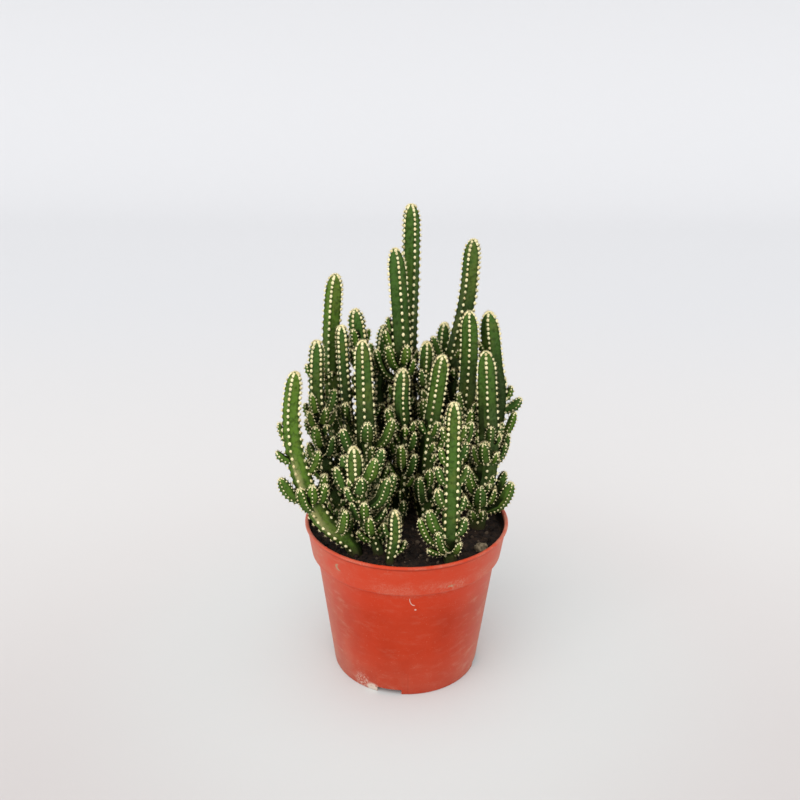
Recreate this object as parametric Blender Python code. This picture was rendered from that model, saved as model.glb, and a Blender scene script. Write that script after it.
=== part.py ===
"""A fairy castle cactus in a round plastic nursery pot.

Ribbed green stems stand in plain holes in the soil. Small shoots grow from them, and both carry
toothed ribs and short spines. Each stem with its shoots and spines is one solid.
The origin is on the pot's axis, at the surface that it stands on, and the front is towards -Y.
"""

import collections
import itertools
import math
import random

import bmesh
import bpy
import numpy as np
from mathutils import Matrix, Vector, noise

MM = 0.001  # Blender's unit is the metre

# The pot: a tapered wall with a wider band below the rim, on a foot ring with four notches.
POT_HEIGHT = 94 * MM
RIM_RADIUS = 60 * MM
LIP_DEPTH = 1.6 * MM
LIP_WIDTH = 2.0 * MM
LIP_ROUNDING = 0.4 * MM
BAND_HEIGHT = 19.5 * MM
BAND_TOP_RADIUS = 59.3 * MM
BAND_RADIUS = 56.4 * MM
SHOULDER_RADIUS = 53.4 * MM
SHOULDER_RISE = 1.2 * MM
BASE_RADIUS = 43.8 * MM
WALL = 1.6 * MM
FLOOR_UNDERSIDE = 4.0 * MM
FLOOR_THICKNESS = 1.5 * MM
FOOT_WIDTH = 1.8 * MM
NOTCH_WIDTH = 14.5 * MM
NOTCH_HEIGHT = 3.4 * MM
FIRST_NOTCH = math.radians(-102.5)  # just left of the front, with the other three a quarter turn apart
DRAIN_RADIUS = 4 * MM
DRAIN_CIRCLE = 24 * MM
DRAIN_SIDES = 8
POT_SIDES = 32

# The soil fills the pot to a little below the rim, with a clearance to the pot and to the stems.
GAP = 0.3 * MM
SOIL_TOP = 88 * MM
SOIL_RINGS = (0.45, 0.84)  # where its surface bends, as shares of its radius
SOIL_ROUGHNESS = 1.5 * MM
SOIL_LUMP_SIZE = 14 * MM
HOLE_SIDES = 8
STONE_PLACE = (42.4 * MM, -29.6 * MM)
STONE_SIZE = (3.9 * MM, 3.4 * MM, 3.0 * MM)
STONE_PAD = 13 * MM  # the soil is level this far round the stone

# Every branch is a column with toothed ribs: five on a stem, four on a thick shoot, three on a slim one.
STEM_RIBS = 5
VALLEY = 0.70  # a valley's radius as a share of its rib's
VALLEY_STEP = 4  # notches and teeth to each point of a valley
THICK_SHOOT = 3.0 * MM
STEM_PITCH = 14 * MM  # tooth to tooth along a rib
SHOOT_PITCH = 10 * MM
TOOTH = 0.6 * MM
DOME = 2.1  # how long the rounded tip is, in radii
TIP_RING = 0.6  # how far the last teeth are from the tip, in radii
FOOT_DEPTH = 12 * MM
FOOT_SHARE = 0.74  # a stem's radius in its hole, as a share of its full radius
COLLAR = 1.8 * MM  # how far above the soil the foot stays straight
SWELL = 16 * MM  # how much further up a stem has its full radius
SHOOT_ROOT = 1.5 * MM  # how far from its stem's axis a shoot starts
WAIST = 0.55  # a shoot's width where it leaves its stem, as a share of its full width

# Spines are drawn out of the face beside some of the teeth, more often beside those nearest to a tip.
SPINE_LENGTH = 2.4 * MM
SPINE_RADIUS = 0.36 * MM
SIDE_SLOPE = 0.45
TIP_SLOPE = 2
SIDE_SPINES_EVERY = 17
TIP_SPINES_EVERY = 5

CLEARANCE = 1.7 * MM  # between the branches of different stems, teeth left out
SPINE_CLEARANCE = 1.0 * MM
SEED = 11
TRIES = 150

# radii: low down, and near the tip. turn: the ribs' turn in degrees. points: x, y and z from the soil
# to the tip. shoots: the root's height above the soil, the compass angle from +X, reach, rise and
# radius. more: how many shoots the rule adds, below the height crown, between the angles in faces.
Stem = collections.namedtuple("Stem", "radii turn points shoots more crown faces")
STEMS = {
    "stem_arching_left": Stem(
        (6.4, 4.3), 40,
        ((-29, -32, 88), (-48, -34, 112), (-59, -32, 139), (-62.5, -29, 165), (-60, -26, 193)),
        ((55, -175, 11.5, 7, 2.3), (32, -170, 17.5, 16, 3.6), (27, -130, 13, 18, 3.0),
         (31, -85, 10, 15, 3.0), (31, -55, 10, 14, 2.9), (14, -65, 14, 19, 2.9),
         (34, 20, 9, 13, 2.8), (46, 15, 10, 14, 2.7), (40, 90, 9, 13, 2.8)),
        1, 60, (40, 180)),
    "stem_left": Stem(
        (4.5, 3.9), 22,
        ((-38, -3, 88), (-48, -5, 138), (-51, -7, 179), (-50, -8, 205)),
        ((94, 180, 5, 8, 1.9), (66, 175, 8, 12, 2.3), (55, 170, 9, 13, 2.2), (54, -105, 11, 16, 3.0),
         (68, -60, 8, 12, 2.8), (42, -145, 11, 15, 2.5), (48, -55, 11, 15, 2.8)),
        2, 66, (0, 360)),
    "stem_left_back": Stem(
        (5.7, 4.9), 38,
        ((-33, 20, 88), (-43, 20, 150), (-44, 20, 194), (-41, 18, 236)),
        ((86, 165, 9, 12, 2.6), (70, -160, 10, 13, 2.7)),
        3, 80, (0, 360)),
    "stem_left_middle": Stem(
        (5.0, 4.6), 30,
        ((-19, 15, 88), (-24, 13, 163), (-28, 11, 201), (-30, 10, 218)),
        (),
        3, 75, (0, 360)),
    "stem_stout_middle": Stem(
        (7.2, 3.9), 52,
        ((-19, -10, 88), (-23, -13, 148), (-24, -13, 174), (-25, -11, 206)),
        ((59, -85, 11, 15, 3.3), (50, -150, 16, 21, 3.1), (53, -15, 15, 20, 3.0)),
        2, 45, (0, 360)),
    "stem_slim_left": Stem(
        (3.5, 3.2), 20,
        ((-28, 4, 88), (-35, 3, 166), (-36, 2, 184), (-37, 1, 211)),
        (),
        1, 62, (0, 360)),
    "stem_centre_tall": Stem(
        (5.2, 4.8), 0,
        ((-2, 15, 88), (-4, 13, 196), (-6, 12, 226), (-8, 11, 252)),
        ((93, -130, 13, 17, 2.9), (105, -175, 9, 13, 2.8), (110, 160, 8, 12, 2.4),
         (87, -165, 16, 21, 2.5), (95, -75, 10, 14, 2.9), (88, -40, 8, 12, 2.6)),
        2, 76, (0, 360)),
    "stem_tallest": Stem(
        (5.4, 4.7), 7,
        ((3, 32, 88), (0, 29, 191), (1, 27, 243), (1, 25, 274)),
        ((88, -55, 9, 13, 2.6),),
        3, 88, (0, 360)),
    "stem_right_tall": Stem(
        (6.2, 4.7), 26,
        ((20, 33, 88), (27, 30, 179), (34.2, 26, 221), (36, 24, 255)),
        ((85, -165, 17, 22, 3.0), (91, 175, 13, 17, 2.8), (81, -140, 12, 17, 2.8)),
        3, 76, (0, 360)),
    "stem_right_edge": Stem(
        (6.3, 5.6), 36,
        ((40.5, 24.5, 88), (52.3, 27, 140), (53.7, 27, 160), (50.2, 26, 184), (46.2, 25, 213)),
        ((30, -42, 17, 25, 3.6), (64, -13, 14.5, 9, 3.3), (69, -8, 8, 10, 2.8), (76, 35, 5, 8, 2.5),
         (46, -35, 15, 20, 2.6)),
        2, 80, (60, 200)),
    "stem_right_middle": Stem(
        (5.8, 4.6), 48,
        ((29, 14, 88), (34, 12, 163), (35, 12, 197), (34, 11, 217)),
        ((58, -75, 13, 17, 2.8), (70, -120, 10, 14, 2.6)),
        1, 66, (0, 360)),
    "stem_right_stout": Stem(
        (7.0, 4.7), 50,
        ((42, 0, 88), (47, 1, 134), (45, 0, 168), (43, 0, 197)),
        ((15, -95, 13, 18, 3.6), (14, 15, 15, 20, 3.1), (8, -13, 19, 22, 3.9), (43, -110, 12, 16, 3.1),
         (21, -135, 15, 20, 3.0)),
        2, 50, (0, 360)),
    "stem_leaning": Stem(
        (5.0, 4.2), 38,
        ((11, 1, 88), (11, -2, 128), (16, -6, 172), (19, -8, 197)),
        ((27, -80, 11, 15, 3.0), (17, -105, 16, 22, 3.1), (60, -160, 6, 9, 2.6)),
        3, 60, (0, 360)),
    "stem_centre": Stem(
        (5.2, 4.0), 70,
        ((-5, 2, 88), (-2, -2, 144), (-4, -4, 171), (-3, -5, 188)),
        ((38, -95, 15, 20, 2.8), (33, -75, 13, 18, 3.0), (50, -45, 10, 14, 2.7), (63, -125, 12, 16, 2.6)),
        2, 55, (0, 360)),
    "stem_front_right": Stem(
        (5.6, 3.9), 14,
        ((24, -41, 88), (24, -41, 125), (24, -40, 160), (24, -39, 181)),
        ((32, -155, 9, 13, 3.0), (15, -155, 14, 19, 3.3), (8, -165, 18, 20, 2.7), (7, -170, 14, 8, 2.3),
         (6, -135, 13, 17, 2.4), (16, -35, 9, 12, 3.1), (6, -55, 8, 9, 2.3), (30, -15, 7, 10, 2.7),
         (58, -165, 7, 11, 2.6), (70, -170, 6, 9, 2.5), (46, -160, 9, 12, 2.6), (70, 10, 6, 9, 2.5),
         (59, 10, 7, 11, 2.6), (47, 5, 8, 11, 2.7)),
        1, 70, (20, 160)),
    "stem_front_small": Stem(
        (3.6, 3.3), 25,
        ((-9.5, -44, 88), (-7, -45, 103), (-7, -45, 121)),
        ((16, 170, 6, 9, 2.2),),
        0, 20, (0, 180)),
    "stem_front_cluster": Stem(
        (4.3, 3.9), 60,
        ((-16, -34, 88), (-27, -37, 126), (-29, -38, 155)),
        ((40, -70, 8, 12, 3.5), (44, -15, 11, 16, 3.7), (30, -25, 16, 21, 3.4), (28, 0, 17, 22, 3.0),
         (43, 20, 15, 20, 3.1), (13, -100, 10, 15, 2.9), (38, 175, 12, 16, 3.1), (44, 155, 10, 14, 3.1)),
        1, 40, (0, 360)),
    "stem_back_right": Stem(
        (4.6, 3.9), 33,
        ((18, 45, 88), (21, 43, 178), (22, 41, 202)),
        (),
        2, 84, (0, 360)),
    "stem_back_centre": Stem(
        (4.6, 3.9), 12,
        ((-13, 43, 88), (-15, 45, 120), (-13, 45, 152)),
        (),
        2, 50, (0, 360)),
    "stem_back_far_right": Stem(
        (4.8, 4.0), 66,
        ((32, 36, 88), (39, 44, 128), (38, 44, 164)),
        (),
        2, 58, (-60, 200)),
    "stem_back_left": Stem(
        (4.8, 4.0), 28,
        ((-33, 35, 88), (-39, 40, 125), (-40, 41, 158)),
        (),
        1, 54, (0, 360)),
    "stem_inner_left": Stem(
        (4.2, 3.7), 20,
        ((-12, 26, 88), (-16, 26, 150), (-15.5, 25, 180), (-13.5, 24, 205)),
        ((88, -140, 7, 13, 2.6), (72, -35, 8, 13, 2.8), (58, -110, 8, 14, 2.8), (40, -50, 8, 14, 2.8)),
        0, 60, (0, 360)),
    "stem_inner_right": Stem(
        (4.2, 3.7), 60,
        ((10, 17, 88), (11, 17, 150), (10, 16, 180), (10.5, 15, 198)),
        ((82, -150, 8, 13, 2.6), (74, -30, 8, 13, 2.8), (60, -155, 8, 14, 2.8), (52, -70, 9, 14, 2.8)),
        0, 60, (0, 360)),
}
Branch = collections.namedtuple("Branch", "stem points radii width turn ribs pitch")

FRESH_GREEN = (0.058, 0.165, 0.032)
OLD_GREEN = (0.040, 0.105, 0.040)
RED_PLASTIC = (0.56, 0.062, 0.028)
SOIL_BROWN = (0.026, 0.018, 0.013)
STONE_BROWN = (0.17, 0.13, 0.085)


# Scene, materials and meshes


def clear_scene():
    for obj in list(bpy.data.objects):
        bpy.data.objects.remove(obj)


def paint(obj, colour, roughness):
    made = bpy.data.materials.new(obj.name)
    made.use_nodes = True
    shader = made.node_tree.nodes["Principled BSDF"]
    shader.inputs["Base Color"].default_value = (*colour, 1)
    shader.inputs["Roughness"].default_value = roughness
    shader.inputs["Metallic"].default_value = 0
    obj.data.materials.clear()
    obj.data.materials.append(made)


def new_object(name, bm, collection=None):
    bmesh.ops.recalc_face_normals(bm, faces=bm.faces)
    if bm.calc_volume(signed=True) < 0:
        bmesh.ops.reverse_faces(bm, faces=bm.faces)
    mesh = bpy.data.meshes.new(name)
    bm.to_mesh(mesh)
    bm.free()
    obj = bpy.data.objects.new(name, mesh)
    (collection or bpy.context.scene.collection).objects.link(obj)
    return obj


def smooth(obj):
    obj.data.shade_smooth()
    obj.data.set_sharp_from_angle(angle=math.radians(35))


def apply_boolean(obj, operation, collection, solver="EXACT"):
    """Joins or cuts obj with all objects of a collection, and removes them."""
    modifier = obj.modifiers.new("all", "BOOLEAN")
    modifier.solver = solver
    modifier.operation = operation
    modifier.operand_type = "COLLECTION"
    modifier.collection = collection
    graph = bpy.context.evaluated_depsgraph_get()
    result = bpy.data.meshes.new_from_object(obj.evaluated_get(graph))
    obj.modifiers.remove(modifier)
    obj.data = result
    for other in list(collection.objects):
        bpy.data.objects.remove(other)
    bpy.data.collections.remove(collection)


def fill_hollows(obj):
    """Keeps a mesh's largest shell, which fills hollows that a union sealed and drops loose scraps."""
    bm = bmesh.new()
    bm.from_mesh(obj.data)
    unseen = set(bm.verts)
    shells = []
    while unseen:
        shell = []
        reached = [unseen.pop()]
        while reached:
            vertex = reached.pop()
            shell.append(vertex)
            found = {edge.other_vert(vertex) for edge in vertex.link_edges} & unseen
            unseen -= found
            reached.extend(found)
        shells.append(shell)
    shells.sort(key=len)
    for shell in shells[:-1]:
        bmesh.ops.delete(bm, geom=shell, context="VERTS")
    bm.to_mesh(obj.data)
    bm.free()


def new_collection(name):
    collection = bpy.data.collections.new(name)
    bpy.context.scene.collection.children.link(collection)
    return collection


def turned(name, profile):
    """A solid turned round the Z axis. The profile runs from the axis to the axis."""
    bm = bmesh.new()
    verts = [bm.verts.new((radius, 0, height)) for radius, height in profile]
    edges = [bm.edges.new(pair) for pair in zip(verts, verts[1:])]
    bmesh.ops.spin(
        bm,
        geom=verts + edges,
        cent=(0, 0, 0),
        axis=(0, 0, 1),
        angle=2 * math.pi,
        steps=POT_SIDES,
        use_merge=True,
    )
    bmesh.ops.remove_doubles(bm, verts=bm.verts, dist=0.001 * MM)
    return new_object(name, bm)


def smoothstep(value):
    value = min(max(value, 0.0), 1.0)
    return value * value * (3 - 2 * value)


# Where the branches run


def curve_through(knots, count):
    """Points along a smooth curve through the given ones."""
    knots = np.array(knots, float)
    at = lengths_along(knots)
    slopes = np.gradient(knots, at, axis=0)
    where = np.linspace(0, at[-1], count)
    k = np.clip(np.searchsorted(at, where, "right") - 1, 0, len(at) - 2)
    span = (at[k + 1] - at[k])[:, None]
    u = (where - at[k])[:, None] / span
    start = knots[k] * (1 + 2 * u) + slopes[k] * span * u
    end = knots[k + 1] * (3 - 2 * u) - slopes[k + 1] * span * (1 - u)
    return start * (1 - u) ** 2 + end * u**2


def lengths_along(points):
    return np.concatenate([[0], np.cumsum(np.linalg.norm(np.diff(points, axis=0), axis=1))])


def tip_share(to_tip, width):
    """The share of its full radius that a branch has at a distance from its tip."""
    x = min(max(to_tip / (DOME * width), 0.0), 1.0)
    return math.sqrt(1 - (1 - x) ** 2)


def stem_branch(name):
    """A stem's own column, from the bottom of its hole in the soil."""
    stem = STEMS[name]
    low, top = (radius * MM for radius in stem.radii)
    route = np.array(stem.points) * MM
    points = curve_through(np.vstack([route[0] - (0, 0, FOOT_DEPTH), route]), 48)
    along = lengths_along(points)
    whole = along[-1]
    radii = []
    for s in along:
        full = low + (top - low) * s / whole
        foot = low * FOOT_SHARE
        swollen = foot + (full - foot) * smoothstep((s - FOOT_DEPTH - COLLAR) / SWELL)
        radii.append(swollen * tip_share(whole - s, top))
    return Branch(name, points, np.array(radii), top, math.radians(stem.turn), STEM_RIBS, STEM_PITCH)


def shoot_branch(column, height, compass, reach, rise, radius):
    """A shoot that leaves its stem sideways and turns upwards."""
    root = column.points[np.argmin(np.abs(column.points[:, 2] - (SOIL_TOP + height * MM)))]
    angle = math.radians(compass)
    out = np.array([math.cos(angle), math.sin(angle), 0]) * reach * MM
    up = np.array([0, 0, rise * MM])
    points = curve_through([root, root + 0.62 * out + 0.3 * up, root + out + up], 14)
    along = lengths_along(points)
    width = radius * MM
    waist = WAIST + (1 - WAIST) * np.minimum(along / (0.35 * along[-1]), 1)
    tip = np.array([tip_share(along[-1] - s, width) for s in along])
    ribs = 4 if width >= THICK_SHOOT else 3
    return Branch(column.stem, points, width * waist * tip, width, angle, ribs, SHOOT_PITCH)


def too_near(points, radii, branches, clearance):
    """Whether any of these points comes nearer to the branches than the clearance."""
    theirs = np.concatenate([branch.points for branch in branches])
    their_radii = np.concatenate([branch.radii for branch in branches])
    gaps = np.linalg.norm(points[:, None] - theirs[None], axis=2)
    return bool((gaps < radii[:, None] + their_radii[None] + clearance).any())


def near_pot(points, radii):
    """Whether any of these points comes too near to the soil or to the pot's rim."""
    across = np.hypot(points[:, 0], points[:, 1]) - (RIM_RADIUS - LIP_WIDTH / 2)
    over_rim = np.maximum(points[:, 2] - POT_HEIGHT, 0)
    near_rim = np.hypot(across, over_rim) < radii + LIP_WIDTH / 2 + CLEARANCE
    near_soil = points[:, 2] - radii < SOIL_TOP + CLEARANCE
    return bool((near_rim | near_soil).any())


def is_clear(shoot, branches):
    """Whether a shoot keeps clear of other stems, of its own stem's shoots, the soil and the rim."""
    points, radii = shoot.points[3:], shoot.radii[3:]
    others = [branch for branch in branches if branch.stem != shoot.stem]
    if near_pot(points, radii) or too_near(points, radii, others, CLEARANCE):
        return False
    siblings = [b for b in branches if b.stem == shoot.stem and b.ribs != STEM_RIBS]
    outer = len(points) // 2
    return not siblings or not too_near(points[outer:], radii[outer:], siblings, -0.5 * MM)


def bent_clear(column, shoot, branches):
    """The shoot as given, or turned, shortened or raised a little to where it is clear."""
    height, compass, reach, rise, radius = shoot
    for lift in (0, 2, 4):
        for share in (1.0, 0.88, 0.76):
            for turn in (0, 8, -8, 16, -16, 24, -24, 32, -32):
                tried = shoot_branch(column, height + lift, compass + turn, reach * share, rise, radius)
                if is_clear(tried, branches):
                    return tried
    return None


def all_branches():
    """Every column, the shoots given for it, and then the shoots that the rule adds."""
    columns = {name: stem_branch(name) for name in STEMS}
    branches = list(columns.values())
    for name, stem in STEMS.items():
        for shoot in stem.shoots:
            placed = bent_clear(columns[name], shoot, branches)
            if placed:
                branches.append(placed)
    rng = random.Random(SEED)
    for name, stem in STEMS.items():
        added = 0
        for _ in range(TRIES):
            if added == stem.more:
                break
            height = rng.uniform(6, stem.crown)
            compass = rng.uniform(*stem.faces)
            reach = rng.uniform(8, 12)
            rise = reach * rng.uniform(1.0, 1.5)
            shoot = shoot_branch(columns[name], height, compass, reach, rise, rng.uniform(2.4, 3.1))
            if is_clear(shoot, branches):
                branches.append(shoot)
                added += 1
    return branches


# Branches as solids


def frames_along(branch):
    """A function that gives the centre, two crosswise directions and the radius at a length."""
    points = [Vector(point) for point in branch.points]
    along = lengths_along(branch.points)
    tangents = [(end - start).normalized() for start, end in zip(points, points[1:])]
    tangents.append(tangents[-1])
    side = Vector((math.cos(branch.turn), math.sin(branch.turn), 0))
    sides = []
    for tangent in tangents:
        side = (side - tangent * side.dot(tangent)).normalized()
        sides.append(side)

    def at(s):
        s = min(max(s, 0.0), along[-1])
        k = min(int(np.searchsorted(along, s, "right")) - 1, len(along) - 2)
        share = (s - along[k]) / (along[k + 1] - along[k])
        side = sides[k].lerp(sides[k + 1], share).normalized()
        radius = branch.radii[k] + (branch.radii[k + 1] - branch.radii[k]) * share
        return points[k].lerp(points[k + 1], share), side, tangents[k].cross(side), radius

    return at


def rib_levels(branch):
    """The lengths along a branch of its notches and teeth, in turn. The last one is a tooth."""
    whole = lengths_along(branch.points)[-1]
    low = FOOT_DEPTH + COLLAR if branch.ribs == STEM_RIBS else SHOOT_ROOT
    high = whole - TIP_RING * branch.width
    teeth = max(2, round((high - low) / branch.pitch))
    return np.linspace(low, high, 2 * teeth)


def spine_spots(own, others, taken):
    """For each of a stem's branches, the rib, level and direction of its spines."""
    side_count = tip_count = 0
    spots = []
    for branch in own:
        at = frames_along(branch)
        levels = rib_levels(branch)
        spots.append([])
        for k, rib in itertools.product(range(1, len(levels), 2), range(branch.ribs)):
            last = k == len(levels) - 1
            side_count += not last
            tip_count += last
            if tip_count % TIP_SPINES_EVERY if last else side_count % SIDE_SPINES_EVERY:
                continue
            centre, side, across, radius = at(levels[k])
            angle = 2 * math.pi * rib / branch.ribs
            out = side * math.cos(angle) + across * math.sin(angle)
            slope = side.cross(across) * (TIP_SLOPE if last else SIDE_SLOPE)
            direction = (out + slope).normalized()
            tip = np.array([centre + out * radius + direction * SPINE_LENGTH])
            if near_pot(tip, np.zeros(1)) or too_near(tip, np.zeros(1), others, SPINE_CLEARANCE):
                continue
            if any(stem != branch.stem and np.linalg.norm(tip - end) < SPINE_LENGTH for stem, end in taken):
                continue
            taken.append((branch.stem, tip))
            spots[-1].append((rib, k, direction))
    return spots


def zip_columns(bm, left, right):
    """Triangles between two columns of (level, vertex) that are both sorted upwards."""
    i = j = 0
    while i < len(left) - 1 or j < len(right) - 1:
        right_done = j == len(right) - 1
        left_next = i < len(left) - 1 and (right_done or left[i + 1][0] <= right[j + 1][0])
        upper = left[i + 1][1] if left_next else right[j + 1][1]
        bm.faces.new((left[i][1], right[j][1], upper))
        i, j = (i + 1, j) if left_next else (i, j + 1)


def raise_spine(bm, tooth, direction):
    """Draws a slim three-sided needle out of the largest face at a tooth."""
    face = max(tooth.link_faces, key=lambda face: face.calc_area())
    corners = list(face.verts)
    foot = tooth.co.lerp(face.calc_center_median(), 0.5)
    base = []
    for corner in corners:
        towards = corner.co - foot
        towards.length = min(SPINE_RADIUS, towards.length / 2)
        base.append(bm.verts.new(foot + towards))
    tip = bm.verts.new(foot + direction * SPINE_LENGTH)
    bm.faces.remove(face)
    for k in range(3):
        after = (k + 1) % 3
        bm.faces.new((corners[k], corners[after], base[k]))
        bm.faces.new((corners[after], base[after], base[k]))
        bm.faces.new((base[k], base[after], tip))


def foot_ring(bm, branch, height):
    """A level ring of a stem's foot, with a point for each rib."""
    x, y = branch.points[0][:2]
    radius = branch.radii[0]
    angles = [branch.turn + 2 * math.pi * rib / branch.ribs for rib in range(branch.ribs)]
    return [bm.verts.new((x + radius * math.cos(a), y + radius * math.sin(a), height)) for a in angles]


def branch_object(name, branch, spots, collection=None):
    """A column with spines. Its ribs have a point for each tooth and notch, and its valleys fewer."""
    bm = bmesh.new()
    at = frames_along(branch)
    levels = rib_levels(branch)

    def ring_point(k, turn, share, proud=0):
        centre, side, across, radius = at(levels[k])
        angle = 2 * math.pi * turn / branch.ribs
        out = side * math.cos(angle) + across * math.sin(angle)
        return levels[k], bm.verts.new(centre + out * (radius * share + proud))

    last = len(levels) - 1
    apex = (math.inf, bm.verts.new(branch.points[-1]))
    ridges, valleys = [], []
    for rib in range(branch.ribs):
        teeth = [ring_point(k, rib, 1, TOOTH if k % 2 else -TOOTH) for k in range(1, last)]
        ridges.append([*teeth, ring_point(last, rib, 1), apex])
        valleys.append([ring_point(k, rib + 0.5, VALLEY) for k in range(2, last, VALLEY_STEP)])
    if branch.ribs == STEM_RIBS:
        root = foot_ring(bm, branch, SOIL_TOP + COLLAR)
        buried = foot_ring(bm, branch, SOIL_TOP - FOOT_DEPTH)
        for rib, corner in enumerate(root):
            bm.faces.new((buried[rib - 1], buried[rib], corner, root[rib - 1]))
        bm.faces.new(buried)
    else:
        root = [ring_point(0, rib, 1)[1] for rib in range(branch.ribs)]
        bm.faces.new(root)
    for rib, (ridge, corner) in enumerate(zip(ridges, root)):
        ridge.insert(0, (levels[0], corner))
        bm.faces.new((root[rib - 1], corner, valleys[rib - 1][0][1]))
        zip_columns(bm, ridge, valleys[rib])
        zip_columns(bm, ridge, valleys[rib - 1])
    for rib, k, direction in spots:
        raise_spine(bm, ridges[rib][k][1], direction)
    return new_object(name, bm, collection)


def stem_object(name, branches, taken):
    """One stem's column with its shoots and spines, as one solid."""
    own = [branch for branch in branches if branch.stem == name]
    others = [branch for branch in branches if branch.stem != name]
    spots = spine_spots(own, others, taken)
    column = branch_object(name, own[0], spots[0])
    shoots = new_collection(name + "_shoots")
    for shoot, shoot_spots in zip(own[1:], spots[1:]):
        branch_object("shoot", shoot, shoot_spots, shoots)
    if len(own) > 1:
        apply_boolean(column, "UNION", shoots, "MANIFOLD")
        fill_hollows(column)
    paint(column, FRESH_GREEN if len(own) < 6 else OLD_GREEN, 0.45)
    smooth(column)


# Pot, soil and stone


def outer_radius(height):
    """The outside of the tapered wall below the band."""
    shoulder = POT_HEIGHT - BAND_HEIGHT - SHOULDER_RISE
    return BASE_RADIUS + (SHOULDER_RADIUS - BASE_RADIUS) * height / shoulder


def make_pot():
    band_foot = POT_HEIGHT - BAND_HEIGHT
    lip_foot = POT_HEIGHT - LIP_DEPTH
    floor_top = FLOOR_UNDERSIDE + FLOOR_THICKNESS
    foot_inside = BASE_RADIUS - FOOT_WIDTH
    pot = turned("pot", (
        (0, FLOOR_UNDERSIDE),
        (foot_inside, FLOOR_UNDERSIDE),
        (foot_inside, 0),
        (BASE_RADIUS - LIP_ROUNDING, 0),
        (BASE_RADIUS, 2 * LIP_ROUNDING),
        (SHOULDER_RADIUS, band_foot - SHOULDER_RISE),
        (BAND_RADIUS, band_foot),
        (BAND_TOP_RADIUS, lip_foot),
        (RIM_RADIUS, lip_foot + LIP_ROUNDING),
        (RIM_RADIUS, POT_HEIGHT - LIP_ROUNDING),
        (RIM_RADIUS - LIP_ROUNDING, POT_HEIGHT),
        (RIM_RADIUS - LIP_WIDTH, POT_HEIGHT - LIP_ROUNDING),
        (BAND_RADIUS - WALL, band_foot + SHOULDER_RISE),
        (SHOULDER_RADIUS - WALL, band_foot - SHOULDER_RISE),
        (outer_radius(floor_top) - WALL, floor_top),
        (0, floor_top),
    ))
    cutters = new_collection("pot_cutters")
    for quarter in range(4):
        angle = FIRST_NOTCH + quarter * math.pi / 2
        across = Matrix.Rotation(angle, 4, "Z")
        bm = bmesh.new()
        bmesh.ops.create_cube(bm, size=1)
        size = Matrix.Diagonal((BASE_RADIUS, NOTCH_WIDTH, 2 * NOTCH_HEIGHT, 1))
        bm.transform(across @ Matrix.Translation((BASE_RADIUS, 0, 0)) @ size)
        new_object("notch", bm, cutters)
        drain = across @ Matrix.Rotation(math.pi / 4, 4, "Z") @ Vector((DRAIN_CIRCLE, 0, 0))
        hole(drain, DRAIN_RADIUS, DRAIN_SIDES, FLOOR_UNDERSIDE - 1 * MM, floor_top + 1 * MM, cutters)
    apply_boolean(pot, "DIFFERENCE", cutters)
    paint(pot, RED_PLASTIC, 0.5)
    smooth(pot)


def hole(place, radius, sides, low, high, collection):
    """A round cutter whose flat sides lie on the radius."""
    bm = bmesh.new()
    corner = radius / math.cos(math.pi / sides)
    bmesh.ops.create_cone(
        bm,
        cap_ends=True,
        segments=sides,
        radius1=corner,
        radius2=corner,
        depth=high - low,
        matrix=Matrix.Translation((place[0], place[1], (low + high) / 2)),
    )
    new_object("hole", bm, collection)


def soil_height(x, y, feet):
    """The soil's uneven surface. It is level round each stem and round the stone."""
    from_stone = math.hypot(x - STONE_PLACE[0], y - STONE_PLACE[1])
    level = smoothstep(from_stone / STONE_PAD - 1)
    for foot in feet:
        level = min(level, smoothstep(math.hypot(x - foot[0], y - foot[1]) / (8 * MM)))
    lumps = abs(noise.noise(Vector((x, y, 0)) / SOIL_LUMP_SIZE))
    return SOIL_TOP - 2 * SOIL_ROUGHNESS * lumps * level


def make_soil(columns):
    floor_top = FLOOR_UNDERSIDE + FLOOR_THICKNESS
    band_foot = POT_HEIGHT - BAND_HEIGHT
    below_band = SHOULDER_RADIUS - WALL - GAP
    in_band = BAND_RADIUS - WALL - GAP
    bottom = floor_top + GAP
    surface = [(0, SOIL_TOP)] + [(share * in_band, SOIL_TOP) for share in SOIL_RINGS]
    soil = turned("soil", surface + [
        (in_band + 1 * MM, SOIL_TOP),
        (in_band, band_foot + SHOULDER_RISE + GAP),
        (below_band, band_foot - SHOULDER_RISE),
        (outer_radius(bottom) - WALL - GAP, bottom),
        (0, bottom),
    ])
    feet = [column.points[0][:2] for column in columns]
    for vertex in soil.data.vertices:
        if vertex.co.z > SOIL_TOP - 0.1 * MM:
            vertex.co.z = soil_height(vertex.co.x, vertex.co.y, feet)
    holes = new_collection("stem_holes")
    for column in columns:
        hole_foot = SOIL_TOP - FOOT_DEPTH - GAP
        hole(column.points[0], column.radii[0] + GAP, HOLE_SIDES, hole_foot, POT_HEIGHT, holes)
    apply_boolean(soil, "DIFFERENCE", holes)
    paint(soil, SOIL_BROWN, 0.95)
    smooth(soil)


def make_stone():
    bm = bmesh.new()
    bmesh.ops.create_icosphere(bm, subdivisions=2, radius=1)
    for vertex in bm.verts:
        lump = 1 + 0.25 * noise.noise(vertex.co * 1.7)
        x, y, z = (vertex.co[axis] * lump * STONE_SIZE[axis] for axis in range(3))
        z = max(z, -0.45 * STONE_SIZE[2])
        vertex.co = (STONE_PLACE[0] + x, STONE_PLACE[1] + y, SOIL_TOP + GAP + 0.45 * STONE_SIZE[2] + z)
    stone = new_object("stone", bm)
    paint(stone, STONE_BROWN, 0.9)
    smooth(stone)


def main():
    clear_scene()
    branches = all_branches()
    make_pot()
    make_soil([branch for branch in branches if branch.ribs == STEM_RIBS])
    make_stone()
    taken = []
    for name in STEMS:
        stem_object(name, branches, taken)


main()
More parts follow.
